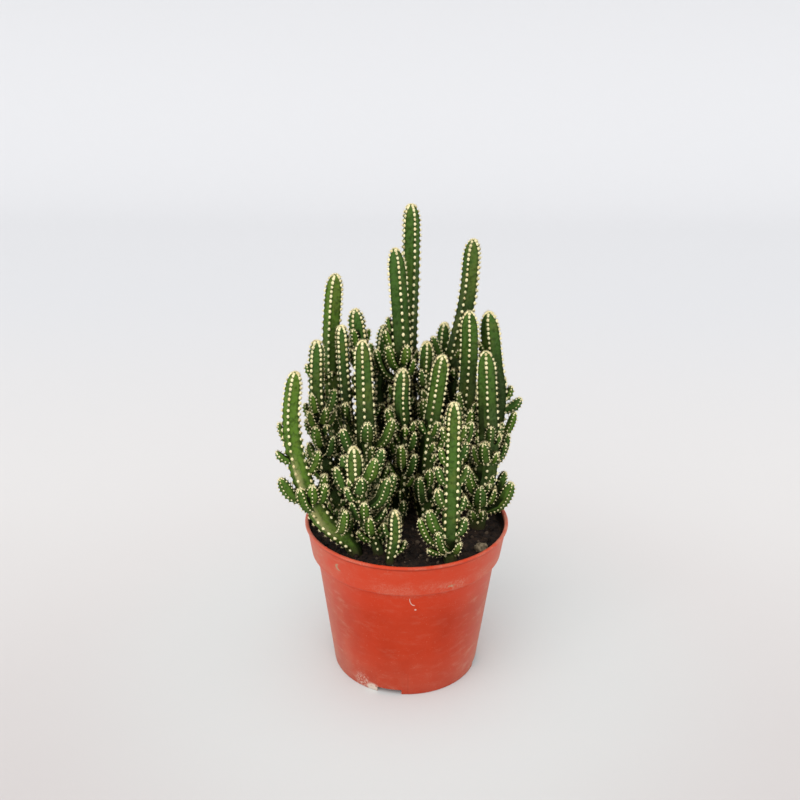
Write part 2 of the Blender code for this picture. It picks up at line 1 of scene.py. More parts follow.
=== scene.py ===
"""The looks of a fairy castle cactus in a round plastic nursery pot.

Each stem's simple solid is replaced by a finely ribbed skin with woolly cushions and spines, and small
shoots that are too fine for the solids are added. The pot, the soil and the clod get smooth or crumbly
surfaces. The front is towards -Y, as in the part.
"""

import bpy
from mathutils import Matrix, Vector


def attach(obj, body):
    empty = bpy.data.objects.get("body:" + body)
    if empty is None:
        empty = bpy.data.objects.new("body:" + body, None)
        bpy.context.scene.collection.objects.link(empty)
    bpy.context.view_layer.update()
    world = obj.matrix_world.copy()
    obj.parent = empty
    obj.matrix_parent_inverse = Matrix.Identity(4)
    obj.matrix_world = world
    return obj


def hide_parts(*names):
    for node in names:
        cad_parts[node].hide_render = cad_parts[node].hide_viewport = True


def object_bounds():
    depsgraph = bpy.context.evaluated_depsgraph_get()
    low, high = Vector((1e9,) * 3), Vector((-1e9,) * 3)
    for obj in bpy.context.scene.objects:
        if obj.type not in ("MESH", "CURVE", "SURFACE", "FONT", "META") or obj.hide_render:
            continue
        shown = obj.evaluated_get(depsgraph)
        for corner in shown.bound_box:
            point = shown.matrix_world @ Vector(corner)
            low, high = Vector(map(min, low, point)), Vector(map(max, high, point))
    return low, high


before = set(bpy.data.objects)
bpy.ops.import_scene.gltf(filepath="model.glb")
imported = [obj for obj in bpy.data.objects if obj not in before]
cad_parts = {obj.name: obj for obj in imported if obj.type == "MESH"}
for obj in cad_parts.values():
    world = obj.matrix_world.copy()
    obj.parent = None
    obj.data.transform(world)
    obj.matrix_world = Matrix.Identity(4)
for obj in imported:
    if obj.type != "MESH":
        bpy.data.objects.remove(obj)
CAD_BOX = [list(corner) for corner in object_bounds()]

import collections
import math
import random

import bmesh
import bpy
import numpy as np
from mathutils import Matrix, Vector, noise
from mathutils.bvhtree import BVHTree

MM = 0.001  # Blender's unit is the metre

# The pot, as in the part. Heights are above the surface that it stands on.
POT_HEIGHT = 94 * MM
RIM_RADIUS = 60 * MM
LIP_DEPTH = 1.6 * MM
LIP_WIDTH = 2.0 * MM
BAND_HEIGHT = 19.5 * MM
BAND_FOOT = POT_HEIGHT - BAND_HEIGHT
BAND_TOP_RADIUS = 59.3 * MM
BAND_RADIUS = 56.4 * MM
SHOULDER_RADIUS = 53.4 * MM
BASE_RADIUS = 43.8 * MM
WALL = 1.6 * MM
FLOOR_UNDERSIDE = 4.0 * MM
FLOOR_TOP = FLOOR_UNDERSIDE + 1.5 * MM
FOOT_WIDTH = 1.8 * MM
NOTCHES = 4
NOTCH_WIDTH = 14.5 * MM
NOTCH_HEIGHT = 3.4 * MM
FIRST_NOTCH = math.radians(-102.5)
DRAIN_RADIUS = 4 * MM
DRAIN_CIRCLE = 24 * MM

GAP = 0.3 * MM
SOIL_TOP = 88 * MM
STONE_PLACE = (42.4 * MM, -29.6 * MM)
STONE_SIZE = (3.9 * MM, 3.4 * MM, 3.0 * MM)

# Where the stems and shoots run, as in the part.
STEM_RIBS = 5
THICK_SHOOT = 3.0 * MM
DOME = 2.1  # how long the rounded tip is, in radii
FOOT_DEPTH = 12 * MM
FOOT_SHARE = 0.74  # a stem's radius in the soil, as a share of its full radius
COLLAR = 1.8 * MM
SWELL = 16 * MM
WAIST = 0.55
CLEARANCE = 1.7 * MM
SEED = 11
STEM_POINTS = 48
SHOOT_POINTS = 14
ELBOW = (0.62, 0.3)  # how far out and up a shoot's bend is, as shares of its reach and rise
WAIST_LENGTH = 0.35  # as a share of a shoot's length
OVERLAP = 0.5 * MM  # the outer halves of shoots on the same stem may overlap by this
TRIED_LIFTS = (0, 2, 4)  # millimetres
TRIED_SHARES = (1.0, 0.88, 0.76)
TRIED_TURNS = (0, 8, -8, 16, -16, 24, -24, 32, -32)  # degrees
# How shoots are added at random: how many tries, the lowest place above the soil, the reach, the rise
# as a share of it, and the radius, in millimetres, and how far the others are, in metres.
Rule = collections.namedtuple("Rule", "tries lowest reach rise radius clearance")
PART_RULE = Rule(
    tries=150,
    lowest=6,
    reach=(8, 12),
    rise=(1.0, 1.5),
    radius=(2.4, 3.1),
    clearance=CLEARANCE,
)

# Fine shapes of the pot. Turns are in degrees from the front, to the right.
POT_SIDES = 192
DRAIN_SIDES = 40
DRAIN_DEPTH = 6 * MM  # of what cuts the hole
BEND_STEPS = 6  # in the curve from the wall out to the band
SHARP_ANGLE = math.radians(40)
WORN_LIP = -26  # where the lip is most uneven
WORN_REACH = 22
NUB_TURN = -49
NUB_SIZE = (1.0 * MM, 0.8 * MM, 1.3 * MM)
NUB_ROUNDING = 0.2  # as a share of its size
LIP_WAVES = 2.2 * MM  # how long the lip's small dents are
LIP_INWARD = (0.05, 0.30)  # how far they go in, at least and by wear, in millimetres
LIP_DOWNWARD = (0.04, 0.35)

# The soil's surface: how long its waves are, and how deep, in millimetres.
SOIL_LIFT = 0.3
SOIL_LUMPS = (14, 2.6)
SOIL_WAVES = (5, 0.9)
SOIL_GRAIN = (1.7, 0.55)
SOIL_EDGE_DROP = 0.8 * MM
SOIL_EDGE = 8  # how steeply the soil drops at the pot's wall
SOIL_SIDES = 240
SOIL_RINGS = 56
CRUMBS = 1100
SMALLEST_CRUMB = 0.3 * MM
CRUMB_SPREAD = 1.3 * MM  # how much larger the largest crumb is
PLAIN_CRUMB = 0.7 * MM  # smaller ones have fewer faces
CRUMB_MARGIN = 1.2 * MM  # from the wall
CRUMB_RISE = 0.25  # a crumb's middle above the soil, as a share of its size
CRUMB_STRETCH = (0.6, 1.25)
CRUMB_TILT = 0.6  # radians, either way
CRUMB_LUMPS = (1.3, 0.45)  # how fine and how deep
NOISE_RANGE = 50  # random places in the noise are within this
NEARLY_ROUND = 6  # the largest random turn, in radians
STONE_SEAT = 0.45  # how much of the clod is below its middle, as a share of its size
CLOD_LUMPS = ((1.7, 0.25), (5, 0.07), (13, 0.035))  # how fine and how deep
CLOD_SUNK = 0.6 * MM  # how far the clod's flat underside is below its seat

# The small shoots that the solids leave out
EXTRA_SEED = 4
EXTRA_RULE = Rule(
    tries=1500,
    lowest=4,
    reach=(5.0, 10.5),
    rise=(0.8, 1.6),
    radius=(1.8, 2.7),
    clearance=0.4 * MM,
)
EXTRA_SHOOTS = 20  # how many the rule adds to a stem that isn't listed here
EXTRA_COUNTS = {
    "stem_arching_left": 6,
    "stem_front_right": 4,
    "stem_front_small": 0,
    "stem_inner_left": 26,
    "stem_inner_right": 28,
    "stem_left": 26,
    "stem_left_middle": 28,
    "stem_right_edge": 34,
    "stem_right_stout": 28,
    "stem_right_tall": 28,
    "stem_tallest": 8,
}
EXTRA_ABOVE_CROWN = 6  # how far above the crown they grow, in millimetres
MORE_ABOVE_CROWN = {  # on stems that stand behind
    "stem_back_centre": 14,
    "stem_back_far_right": 14,
    "stem_back_left": 14,
    "stem_back_right": 12,
    "stem_inner_left": 30,
    "stem_inner_right": 30,
    "stem_left_back": 24,
    "stem_left_middle": 34,
    "stem_right_edge": 28,
    "stem_right_tall": 24,
    "stem_tallest": 14,
}
# Small shoots in given places: stem, height above the soil, compass angle, reach, rise and radius.
FILLERS = (
    ("stem_left", 30, 165, 14, 16, 2.6),
    ("stem_left", 38, 180, 12.5, 14, 2.4),
    ("stem_left", 12, 172, 11.5, 12, 2.3),
    ("stem_left_back", 34, 188, 17, 15, 2.7),
    ("stem_left_middle", 82, 205, 7.5, 9, 2.3),
    ("stem_left_middle", 72, 215, 8, 10, 2.3),
    ("stem_left_middle", 62, 210, 8, 10, 2.3),
    ("stem_right_stout", 6.5, -75, 8, 8, 2.2),
    ("stem_right_stout", 6.5, -120, 9, 8, 2.2),
    ("stem_front_right", 5.5, -150, 15, 5, 2.1),
    ("stem_front_small", 5, 10, 8, 8, 1.9),
)

# How the ribs and the woolly cushions grow on a branch.
# pitch: from one cushion to the next along a rib. crown and crowding: this far below the tip the
# cushions crowd together, to this share of the pitch. first: from the soil, or from the stem, to the
# lowest cushion. bare: from the last cushions to the tip. spiny: what the spines need above the tip.
# steps: the rows of skin to each cushion. section: across a rib, the radius and the turn from one
# crest to the next. bump: how far a crest stands out at a cushion. sunk: how deep the cushion sits in
# it. taller: a cushion's height along its rib, as a share of its width. tuft: this far below the tip
# the cushions are those of the crown.
Habit = collections.namedtuple(
    "Habit", "kind pitch crown crowding first bare spiny steps section bump sunk taller tuft"
)
STEM_HABIT = Habit(
    kind="stem",
    pitch=4.2 * MM,
    crown=42 * MM,
    crowding=0.5,
    first=4 * MM,
    bare=1.0 * MM,
    spiny=0.5 * MM,
    steps=4,
    section=((1.0, 0.0), (0.935, 0.075), (0.83, 0.24), (0.765, 0.5)),
    bump=0.36 * MM,
    sunk=0.10 * MM,
    taller=1.25,
    tuft=9 * MM,
)
SHOOT_HABIT = Habit(
    kind="shoot",
    pitch=2.3 * MM,
    crown=5 * MM,
    crowding=0.7,
    first=2.2 * MM,
    bare=0.6 * MM,
    spiny=0.25 * MM,
    steps=2,
    section=((1.0, 0.0), (0.86, 0.2), (0.76, 0.5)),
    bump=0.45 * MM,
    sunk=0.05 * MM,
    taller=1.05,
    tuft=3.5 * MM,
)
CLOSEST = 0.3 * MM  # no two rings of cushions are nearer to each other
LAST_RING = 0.25  # the last ring of cushions, as a share of the bare tip
RIB_SHIFT = 0.4  # how much higher a rib's cushions are than those of the rib before, in pitches
PLUMP = 1.06  # the skin's swelling between a stem's foot and its tip
BURIED = 6 * MM  # how far a stem's skin goes down into the soil
SHOOT_START = 1 * MM  # where a shoot's skin starts, inside its stem
LOW_ROWS = 1.5 * MM  # from row to row of skin below the lowest cushion
RIB_RISE = 6 * MM  # a branch's ribs reach their full height this far up
ROUND_FOOT = 14 * MM  # a stem's ribs are flatter up to this height
FLATTER = 0.35  # how much flatter they are at the soil
CREST_WIDTH = 0.2  # the width of a crest's side, as a share of the way to the next rib
CREST_SHADE = 0.65  # how dark the painted shade on a crest is on average; it is lightest round the cushions and darkest between them
FIVE_RIBS = 2.4 * MM  # shoots at least this thick have five ribs, the others four
TIP_ROWS = (0.0, 0.35, 0.65, 0.88)  # rows of skin between the last cushions and the tip

# Sides, rings, width, number of spines, their length, and their lean towards the branch's tip.
CUSHIONS = {
    "stem": (6, 2, 0.80 * MM, 7, 1.6 * MM, 0.1),
    "stem_crown": (5, 2, 0.86 * MM, 7, 1.8 * MM, 0.5),
    "shoot": (4, 1, 0.53 * MM, 3, 1.3 * MM, 0.15),
    "shoot_crown": (4, 1, 0.56 * MM, 3, 1.5 * MM, 0.6),
}
CUSHION_RINGS = ((1.0, -0.25), (0.74, 0.38))  # the rings' radius and height, in widths
CUSHION_TOP = 0.66
CUSHION_UNEVEN = (0.88, 1.12)
CUSHION_SIZES = (0.85, 1.12)
CUSHION_MODELS = 5  # of each kind
APEX_SIZE = 0.8  # the size of the one cushion at the very tip, to the others
SPINE_THICKNESS = 0.10 * MM
SPINE_ROOT = 0.25  # how far from the cushion's middle a spine starts, in widths
SPINE_SPREAD = 0.25  # how far a spine is off its even place round the cushion, in steps
SPINE_TILTS = (30, 80)  # degrees off the middle one
MIDDLE_TILT = 8
SPINE_LENGTHS = (0.6, 1.0)
SPINE_ROOT_TINT = 0.4  # how golden a spine is where it leaves the wool
SLOPE_STEP = 0.2 * MM
SLOPES = (-2.5, 0.3)  # the steepest slopes that a cushion follows at the tip and at the foot

TUBE_CORNERS = (0, 2.1, 4.2)  # of a branch where only its shade counts, in radians
REACH_OF_SHADE = 42 * MM  # how far off other flesh still keeps the light from a rib
FAR_SHADE = 0.6  # the light that gets past flesh at the end of that reach
LIGHT_START = 1.0 * MM  # how far off the rib the way to the light starts
# Ways to the light from a rib: how far up, and the turn round the branch.
LIGHT_WAYS = ((0.15, 0.0), (0.5, 0.7), (0.5, -0.7), (1.2, 0.0), (1.2, 1.3), (1.2, -1.3))

# The skin's age and tint. The tint goes from 0 to 1, and is random where it isn't given. The given tints
# are painted light: they brighten the stems that stand in the light.
PAINTED_LIGHT_STEMS = {
    "stem_arching_left": 1.0,
    "stem_leaning": 0.7,
    "stem_front_right": 0.6,
    "stem_right_stout": 0.6,
}
LEAST_BRIGHT_SHOOT = 0.4  # the least tint that a shoot gets
STEM_YOUNG = 44 * MM  # a stem's skin is old from this far below its tip
LONG_YOUNG = {
    "stem_arching_left": 150 * MM,
    "stem_front_right": 110 * MM,
    "stem_tallest": 75 * MM,
    "stem_centre_tall": 75 * MM,
}
SHOOT_YOUNG = 24 * MM
CORKY_STEM = "stem_arching_left"
CORKY_RIB = 3
CORK_SPREAD = 0.45  # how far down a rib's sides the cork goes, as a share of the way to the next rib
CORKY_HEIGHTS = (112 * MM, 150 * MM)
CORK_FADE = 12 * MM

FRESH_SKIN = (0.059, 0.135, 0.022)
BRIGHT_SKIN = (0.126, 0.234, 0.023)
OLD_SKIN = (0.032, 0.056, 0.014)
OLIVE_SKIN = (0.124, 0.160, 0.028)
PALE_SKIN = (0.089, 0.136, 0.054)
# Dark mottling of the skin, and the painted shade on its crests
DARK_SKIN_AND_CREST_SHADE = (0.013, 0.030, 0.002)
CORK = (0.424, 0.398, 0.169)
BROWN_SKIN = (0.064, 0.049, 0.025)
# Painted shade, where little light reaches the skin and the wool
SHADED_SKIN = (0.0040, 0.0070, 0.0008)
SHADED_WOOL = (0.100, 0.090, 0.025)
WOOL = (1.0, 0.92, 0.55)
OLD_WOOL = (0.81, 0.67, 0.33)
SPINE = (0.90, 0.76, 0.44)
BRIGHT_RED = (0.508, 0.036, 0.006)
DEEP_RED = (0.449, 0.029, 0.003)
BAND_RED = (0.640, 0.045, 0.009)
# Pale dust, and painted sheen at the pot's sides
DUST_AND_SHEEN_RED = (0.559, 0.288, 0.203)
DUST = (0.610, 0.373, 0.263)
SCUFF_BROWN = (0.424, 0.288, 0.169)
PALE_DUST = (0.729, 0.610, 0.508)
# Painted shadow lines, and the darker mould seam
SHADOW_AND_SEAM_RED = (0.254, 0.019, 0.005)
SOIL_DARK = (0.0102, 0.0076, 0.0068)
SOIL_BROWN = (0.042, 0.024, 0.015)
SOIL_PALE = (0.155, 0.112, 0.078)
CLOD_DARK = (0.120, 0.090, 0.055)
CLOD_PALE = (0.30, 0.235, 0.15)
# The floor's painted light and shade: lighter round the pot to lift its shadow, darker in front
FLOOR_PAINTED_LIGHT_BY_POT = (0.658, 0.690, 0.685)
FLOOR_NEAR_PAINTED_SHADE = (0.560, 0.525, 0.518)
FLOOR_MIDDLE = (0.682, 0.666, 0.660)
FLOOR_FAR = (0.652, 0.656, 0.673)
SKY = (1.0, 1.0, 1.0)
SKY_STRENGTH = 1.0
SUN_STRENGTH = 1.16
SUN_SOFTNESS = 60  # degrees across
SUN_FROM = (-0.28, -0.60, 0.75)

CAMERA_PLACE = (-4.44 * MM, -487.97 * MM, 347.15 * MM)
CAMERA_PITCH = 20.216  # degrees below level
CAMERA_ROLL = -0.439
CAMERA_LENS = 41.31

# Marks on the pot. A place is how far it is round the pot from the front, to the right, and how high,
# in millimetres.
MARKS_RADIUS = 50 * MM  # of the pot where the marks are measured round it
CRESCENT = (-35.5, 84.7)
CRESCENT_GAP = (-34.0, 85.0)
CRESCENT_RADIUS = 2.2
SCRATCH = (4.2, 70.5)
SCRATCH_RADIUS = 2.6
SCRATCH_STRETCH = 1.75
NICK = (4.8, 62.9)
NICK_RADIUS = 0.5
WORN_FOOT = (-22.5, 1.4)
# Rubbed patches: colour, place, radius, softness, stretch sideways, how broken up, and strength
RUBBED = (
    (SCUFF_BROWN, (22.3, 78.2), 0.8, 0.4, 2.2, (0.38, 0.5), 0.7),
    (DUST, (24.0, 78.0), 3.0, 2.5, 2.6, (0.48, 0.62), 0.3),
    (PALE_DUST, (-30.0, 4.0), 5.0, 3.0, 1.0, (0.45, 0.6), 0.6),
)
# Pale lines at the lip and above the band's foot: dust, and at the lip also a painted highlight
DUST_AND_HIGHLIGHT_LINES = ((POT_HEIGHT - 0.8 * MM, 1.2 * MM, 0.3), (BAND_FOOT + 2 * MM, 8 * MM, 0.2))
# Painted shadow under the lip and under the band
SHADOW_LINES = (POT_HEIGHT - LIP_DEPTH - 0.5 * MM, BAND_FOOT - 0.9 * MM)
SEAM = 1.6 * MM
SEAM_HEIGHTS = (20 * MM, 12 * MM)
LEAST_DUST_AND_SHEEN = 0.03  # the turn where the pot has the least dust and painted sheen

# The floor, in metres, and the camera's sensor in its usual millimetres
FLOOR_FRONT = -2.5
FLOOR_SIDE = 3.0
COVE_START = 1.6
COVE_RADIUS = 0.9
COVE_STEPS = 16
BACKDROP_HEIGHT = 3.0
SENSOR_WIDTH = 36
NEAREST_SEEN = 0.01

# radii: low down, and near the tip. turn: the ribs' turn in degrees. points: x, y and z from the soil
# to the tip. shoots: the root's height above the soil, the compass angle from +X, reach, rise and
# radius. more: how many shoots the rule adds, below the height crown, between the angles in faces.
Stem = collections.namedtuple("Stem", "radii turn points shoots more crown faces")
STEMS = {
    "stem_arching_left": Stem(
        (6.4, 4.3), 40,
        ((-29, -32, 88), (-48, -34, 112), (-59, -32, 139), (-62.5, -29, 165), (-60, -26, 193)),
        ((55, -175, 11.5, 7, 2.3), (32, -170, 17.5, 16, 3.6), (27, -130, 13, 18, 3.0),
         (31, -85, 10, 15, 3.0), (31, -55, 10, 14, 2.9), (14, -65, 14, 19, 2.9),
         (34, 20, 9, 13, 2.8), (46, 15, 10, 14, 2.7), (40, 90, 9, 13, 2.8)),
        1, 60, (40, 180)),
    "stem_left": Stem(
        (4.5, 3.9), 22,
        ((-38, -3, 88), (-48, -5, 138), (-51, -7, 179), (-50, -8, 205)),
        ((94, 180, 5, 8, 1.9), (66, 175, 8, 12, 2.3), (55, 170, 9, 13, 2.2), (54, -105, 11, 16, 3.0),
         (68, -60, 8, 12, 2.8), (42, -145, 11, 15, 2.5), (48, -55, 11, 15, 2.8)),
        2, 66, (0, 360)),
    "stem_left_back": Stem(
        (5.7, 4.9), 38,
        ((-33, 20, 88), (-43, 20, 150), (-44, 20, 194), (-41, 18, 236)),
        ((86, 165, 9, 12, 2.6), (70, -160, 10, 13, 2.7)),
        3, 80, (0, 360)),
    "stem_left_middle": Stem(
        (5.0, 4.6), 30,
        ((-19, 15, 88), (-24, 13, 163), (-28, 11, 201), (-30, 10, 218)),
        (),
        3, 75, (0, 360)),
    "stem_stout_middle": Stem(
        (7.2, 3.9), 52,
        ((-19, -10, 88), (-23, -13, 148), (-24, -13, 174), (-25, -11, 206)),
        ((59, -85, 11, 15, 3.3), (50, -150, 16, 21, 3.1), (53, -15, 15, 20, 3.0)),
        2, 45, (0, 360)),
    "stem_slim_left": Stem(
        (3.5, 3.2), 20,
        ((-28, 4, 88), (-35, 3, 166), (-36, 2, 184), (-37, 1, 211)),
        (),
        1, 62, (0, 360)),
    "stem_centre_tall": Stem(
        (5.2, 4.8), 0,
        ((-2, 15, 88), (-4, 13, 196), (-6, 12, 226), (-8, 11, 252)),
        ((93, -130, 13, 17, 2.9), (105, -175, 9, 13, 2.8), (110, 160, 8, 12, 2.4),
         (87, -165, 16, 21, 2.5), (95, -75, 10, 14, 2.9), (88, -40, 8, 12, 2.6)),
        2, 76, (0, 360)),
    "stem_tallest": Stem(
        (5.4, 4.7), 7,
        ((3, 32, 88), (0, 29, 191), (1, 27, 243), (1, 25, 274)),
        ((88, -55, 9, 13, 2.6),),
        3, 88, (0, 360)),
    "stem_right_tall": Stem(
        (6.2, 4.7), 26,
        ((20, 33, 88), (27, 30, 179), (34.2, 26, 221), (36, 24, 255)),
        ((85, -165, 17, 22, 3.0), (91, 175, 13, 17, 2.8), (81, -140, 12, 17, 2.8)),
        3, 76, (0, 360)),
    "stem_right_edge": Stem(
        (6.3, 5.6), 36,
        ((40.5, 24.5, 88), (52.3, 27, 140), (53.7, 27, 160), (50.2, 26, 184), (46.2, 25, 213)),
        ((30, -42, 17, 25, 3.6), (64, -13, 14.5, 9, 3.3), (69, -8, 8, 10, 2.8), (76, 35, 5, 8, 2.5),
         (46, -35, 15, 20, 2.6)),
        2, 80, (60, 200)),
    "stem_right_middle": Stem(
        (5.8, 4.6), 48,
        ((29, 14, 88), (34, 12, 163), (35, 12, 197), (34, 11, 217)),
        ((58, -75, 13, 17, 2.8), (70, -120, 10, 14, 2.6)),
        1, 66, (0, 360)),
    "stem_right_stout": Stem(
        (7.0, 4.7), 50,
        ((42, 0, 88), (47, 1, 134), (45, 0, 168), (43, 0, 197)),
        ((15, -95, 13, 18, 3.6), (14, 15, 15, 20, 3.1), (8, -13, 19, 22, 3.9), (43, -110, 12, 16, 3.1),
         (21, -135, 15, 20, 3.0)),
        2, 50, (0, 360)),
    "stem_leaning": Stem(
        (5.0, 4.2), 38,
        ((11, 1, 88), (11, -2, 128), (16, -6, 172), (19, -8, 197)),
        ((27, -80, 11, 15, 3.0), (17, -105, 16, 22, 3.1), (60, -160, 6, 9, 2.6)),
        3, 60, (0, 360)),
    "stem_centre": Stem(
        (5.2, 4.0), 70,
        ((-5, 2, 88), (-2, -2, 144), (-4, -4, 171), (-3, -5, 188)),
        ((38, -95, 15, 20, 2.8), (33, -75, 13, 18, 3.0), (50, -45, 10, 14, 2.7), (63, -125, 12, 16, 2.6)),
        2, 55, (0, 360)),
    "stem_front_right": Stem(
        (5.6, 3.9), 14,
        ((24, -41, 88), (24, -41, 125), (24, -40, 160), (24, -39, 181)),
        ((32, -155, 9, 13, 3.0), (15, -155, 14, 19, 3.3), (8, -165, 18, 20, 2.7), (7, -170, 14, 8, 2.3),
         (6, -135, 13, 17, 2.4), (16, -35, 9, 12, 3.1), (6, -55, 8, 9, 2.3), (30, -15, 7, 10, 2.7),
         (58, -165, 7, 11, 2.6), (70, -170, 6, 9, 2.5), (46, -160, 9, 12, 2.6), (70, 10, 6, 9, 2.5),
         (59, 10, 7, 11, 2.6), (47, 5, 8, 11, 2.7)),
        1, 70, (20, 160)),
    "stem_front_small": Stem(
        (3.6, 3.3), 25,
        ((-9.5, -44, 88), (-7, -45, 103), (-7, -45, 121)),
        ((16, 170, 6, 9, 2.2),),
        0, 20, (0, 180)),
    "stem_front_cluster": Stem(
        (4.3, 3.9), 60,
        ((-16, -34, 88), (-27, -37, 126), (-29, -38, 155)),
        ((40, -70, 8, 12, 3.5), (44, -15, 11, 16, 3.7), (30, -25, 16, 21, 3.4), (28, 0, 17, 22, 3.0),
         (43, 20, 15, 20, 3.1), (13, -100, 10, 15, 2.9), (38, 175, 12, 16, 3.1), (44, 155, 10, 14, 3.1)),
        1, 40, (0, 360)),
    "stem_back_right": Stem(
        (4.6, 3.9), 33,
        ((18, 45, 88), (21, 43, 178), (22, 41, 202)),
        (),
        2, 84, (0, 360)),
    "stem_back_centre": Stem(
        (4.6, 3.9), 12,
        ((-13, 43, 88), (-15, 45, 120), (-13, 45, 152)),
        (),
        2, 50, (0, 360)),
    "stem_back_far_right": Stem(
        (4.8, 4.0), 66,
        ((32, 36, 88), (39, 44, 128), (38, 44, 164)),
        (),
        2, 58, (-60, 200)),
    "stem_back_left": Stem(
        (4.8, 4.0), 28,
        ((-33, 35, 88), (-39, 40, 125), (-40, 41, 158)),
        (),
        1, 54, (0, 360)),
    "stem_inner_left": Stem(
        (4.2, 3.7), 20,
        ((-12, 26, 88), (-16, 26, 150), (-15.5, 25, 180), (-13.5, 24, 205)),
        ((88, -140, 7, 13, 2.6), (72, -35, 8, 13, 2.8), (58, -110, 8, 14, 2.8), (40, -50, 8, 14, 2.8)),
        0, 60, (0, 360)),
    "stem_inner_right": Stem(
        (4.2, 3.7), 60,
        ((10, 17, 88), (11, 17, 150), (10, 16, 180), (10.5, 15, 198)),
        ((82, -150, 8, 13, 2.6), (74, -30, 8, 13, 2.8), (60, -155, 8, 14, 2.8), (52, -70, 9, 14, 2.8)),
        0, 60, (0, 360)),
}
Branch = collections.namedtuple("Branch", "stem points radii width turn ribs")


def smoothstep(value):
    value = min(max(value, 0.0), 1.0)
    return value * value * (3 - 2 * value)


def clipped(values):
    return np.clip(values, 0, 1)


# Where the branches run


def curve_through(knots, count):
    """Points along a smooth curve through the given ones."""
    knots = np.array(knots, float)
    at = lengths_along(knots)
    slopes = np.gradient(knots, at, axis=0)
    where = np.linspace(0, at[-1], count)
    k = np.clip(np.searchsorted(at, where, "right") - 1, 0, len(at) - 2)
    span = (at[k + 1] - at[k])[:, None]
    u = (where - at[k])[:, None] / span
    start = knots[k] * (1 + 2 * u) + slopes[k] * span * u
    end = knots[k + 1] * (3 - 2 * u) - slopes[k + 1] * span * (1 - u)
    return start * (1 - u) ** 2 + end * u**2


def lengths_along(points):
    return np.concatenate([[0], np.cumsum(np.linalg.norm(np.diff(points, axis=0), axis=1))])


def tip_share(to_tip, width):
    """The share of its full radius that a branch has at a distance from its tip."""
    x = min(max(to_tip / (DOME * width), 0.0), 1.0)
    return math.sqrt(1 - (1 - x) ** 2)


def stem_branch(name):
    """A stem's own column, from the bottom of its hole in the soil."""
    stem = STEMS[name]
    low, top = (radius * MM for radius in stem.radii)
    route = np.array(stem.points) * MM
    points = curve_through(np.vstack([route[0] - (0, 0, FOOT_DEPTH), route]), STEM_POINTS)
    along = lengths_along(points)
    whole = along[-1]
    radii = []
    for s in along:
        full = low + (top - low) * s / whole
        foot = low * FOOT_SHARE
        swollen = foot + (full - foot) * smoothstep((s - FOOT_DEPTH - COLLAR) / SWELL)
        radii.append(swollen * tip_share(whole - s, top))
    return Branch(name, points, np.array(radii), top, math.radians(stem.turn), STEM_RIBS)


def shoot_branch(column, height, compass, reach, rise, radius):
    """A shoot that leaves its stem sideways and turns upwards."""
    root = column.points[np.argmin(np.abs(column.points[:, 2] - (SOIL_TOP + height * MM)))]
    angle = math.radians(compass)
    out = np.array([math.cos(angle), math.sin(angle), 0]) * reach * MM
    up = np.array([0, 0, rise * MM])
    elbow = root + ELBOW[0] * out + ELBOW[1] * up
    points = curve_through([root, elbow, root + out + up], SHOOT_POINTS)
    along = lengths_along(points)
    width = radius * MM
    waist = WAIST + (1 - WAIST) * np.minimum(along / (WAIST_LENGTH * along[-1]), 1)
    tip = np.array([tip_share(along[-1] - s, width) for s in along])
    ribs = 4 if width >= THICK_SHOOT else 3
    return Branch(column.stem, points, width * waist * tip, width, angle, ribs)


def too_near(points, radii, branches, clearance):
    """Whether any of these points comes nearer to the branches than the clearance."""
    theirs = np.concatenate([branch.points for branch in branches])
    their_radii = np.concatenate([branch.radii for branch in branches])
    gaps = np.linalg.norm(points[:, None] - theirs[None], axis=2)
    return bool((gaps < radii[:, None] + their_radii[None] + clearance).any())


def near_pot(points, radii):
    """Whether any of these points comes too near to the soil or to the pot's rim."""
    across = np.hypot(points[:, 0], points[:, 1]) - (RIM_RADIUS - LIP_WIDTH / 2)
    over_rim = np.maximum(points[:, 2] - POT_HEIGHT, 0)
    near_rim = np.hypot(across, over_rim) < radii + LIP_WIDTH / 2 + CLEARANCE
    near_soil = points[:, 2] - radii < SOIL_TOP + CLEARANCE
    return bool((near_rim | near_soil).any())


def is_clear(shoot, branches, clearance=CLEARANCE):
    """Whether a shoot keeps clear of other stems, of its own stem's shoots, the soil and the rim."""
    points, radii = shoot.points[3:], shoot.radii[3:]
    others = [branch for branch in branches if branch.stem != shoot.stem]
    if near_pot(points, radii) or too_near(points, radii, others, clearance):
        return False
    siblings = [b for b in branches if b.stem == shoot.stem and b.ribs != STEM_RIBS]
    outer = len(points) // 2
    return not siblings or not too_near(points[outer:], radii[outer:], siblings, -OVERLAP)


def bent_clear(column, shoot, branches):
    """The shoot as given, or turned, shortened or raised a little to where it is clear."""
    height, compass, reach, rise, radius = shoot
    for lift in TRIED_LIFTS:
        for share in TRIED_SHARES:
            for turn in TRIED_TURNS:
                tried = shoot_branch(column, height + lift, compass + turn, reach * share, rise, radius)
                if is_clear(tried, branches):
                    return tried
    return None


def grow(rng, column, branches, rule, wanted, highest):
    """Adds shoots at random places on a stem where they are clear, until there are enough."""
    for _ in range(rule.tries):
        if not wanted:
            break
        height = rng.uniform(rule.lowest, highest)
        compass = rng.uniform(*STEMS[column.stem].faces)
        reach = rng.uniform(*rule.reach)
        rise = reach * rng.uniform(*rule.rise)
        shoot = shoot_branch(column, height, compass, reach, rise, rng.uniform(*rule.radius))
        if is_clear(shoot, branches, rule.clearance):
            branches.append(shoot)
            wanted -= 1


def all_branches():
    """Every column, the shoots given for it, and then the shoots that the rule adds."""
    columns = {name: stem_branch(name) for name in STEMS}
    branches = list(columns.values())
    for name, stem in STEMS.items():
        for shoot in stem.shoots:
            placed = bent_clear(columns[name], shoot, branches)
            if placed:
                branches.append(placed)
    rng = random.Random(SEED)
    for name, stem in STEMS.items():
        grow(rng, columns[name], branches, PART_RULE, stem.more, stem.crown)
    return branches


# Meshes


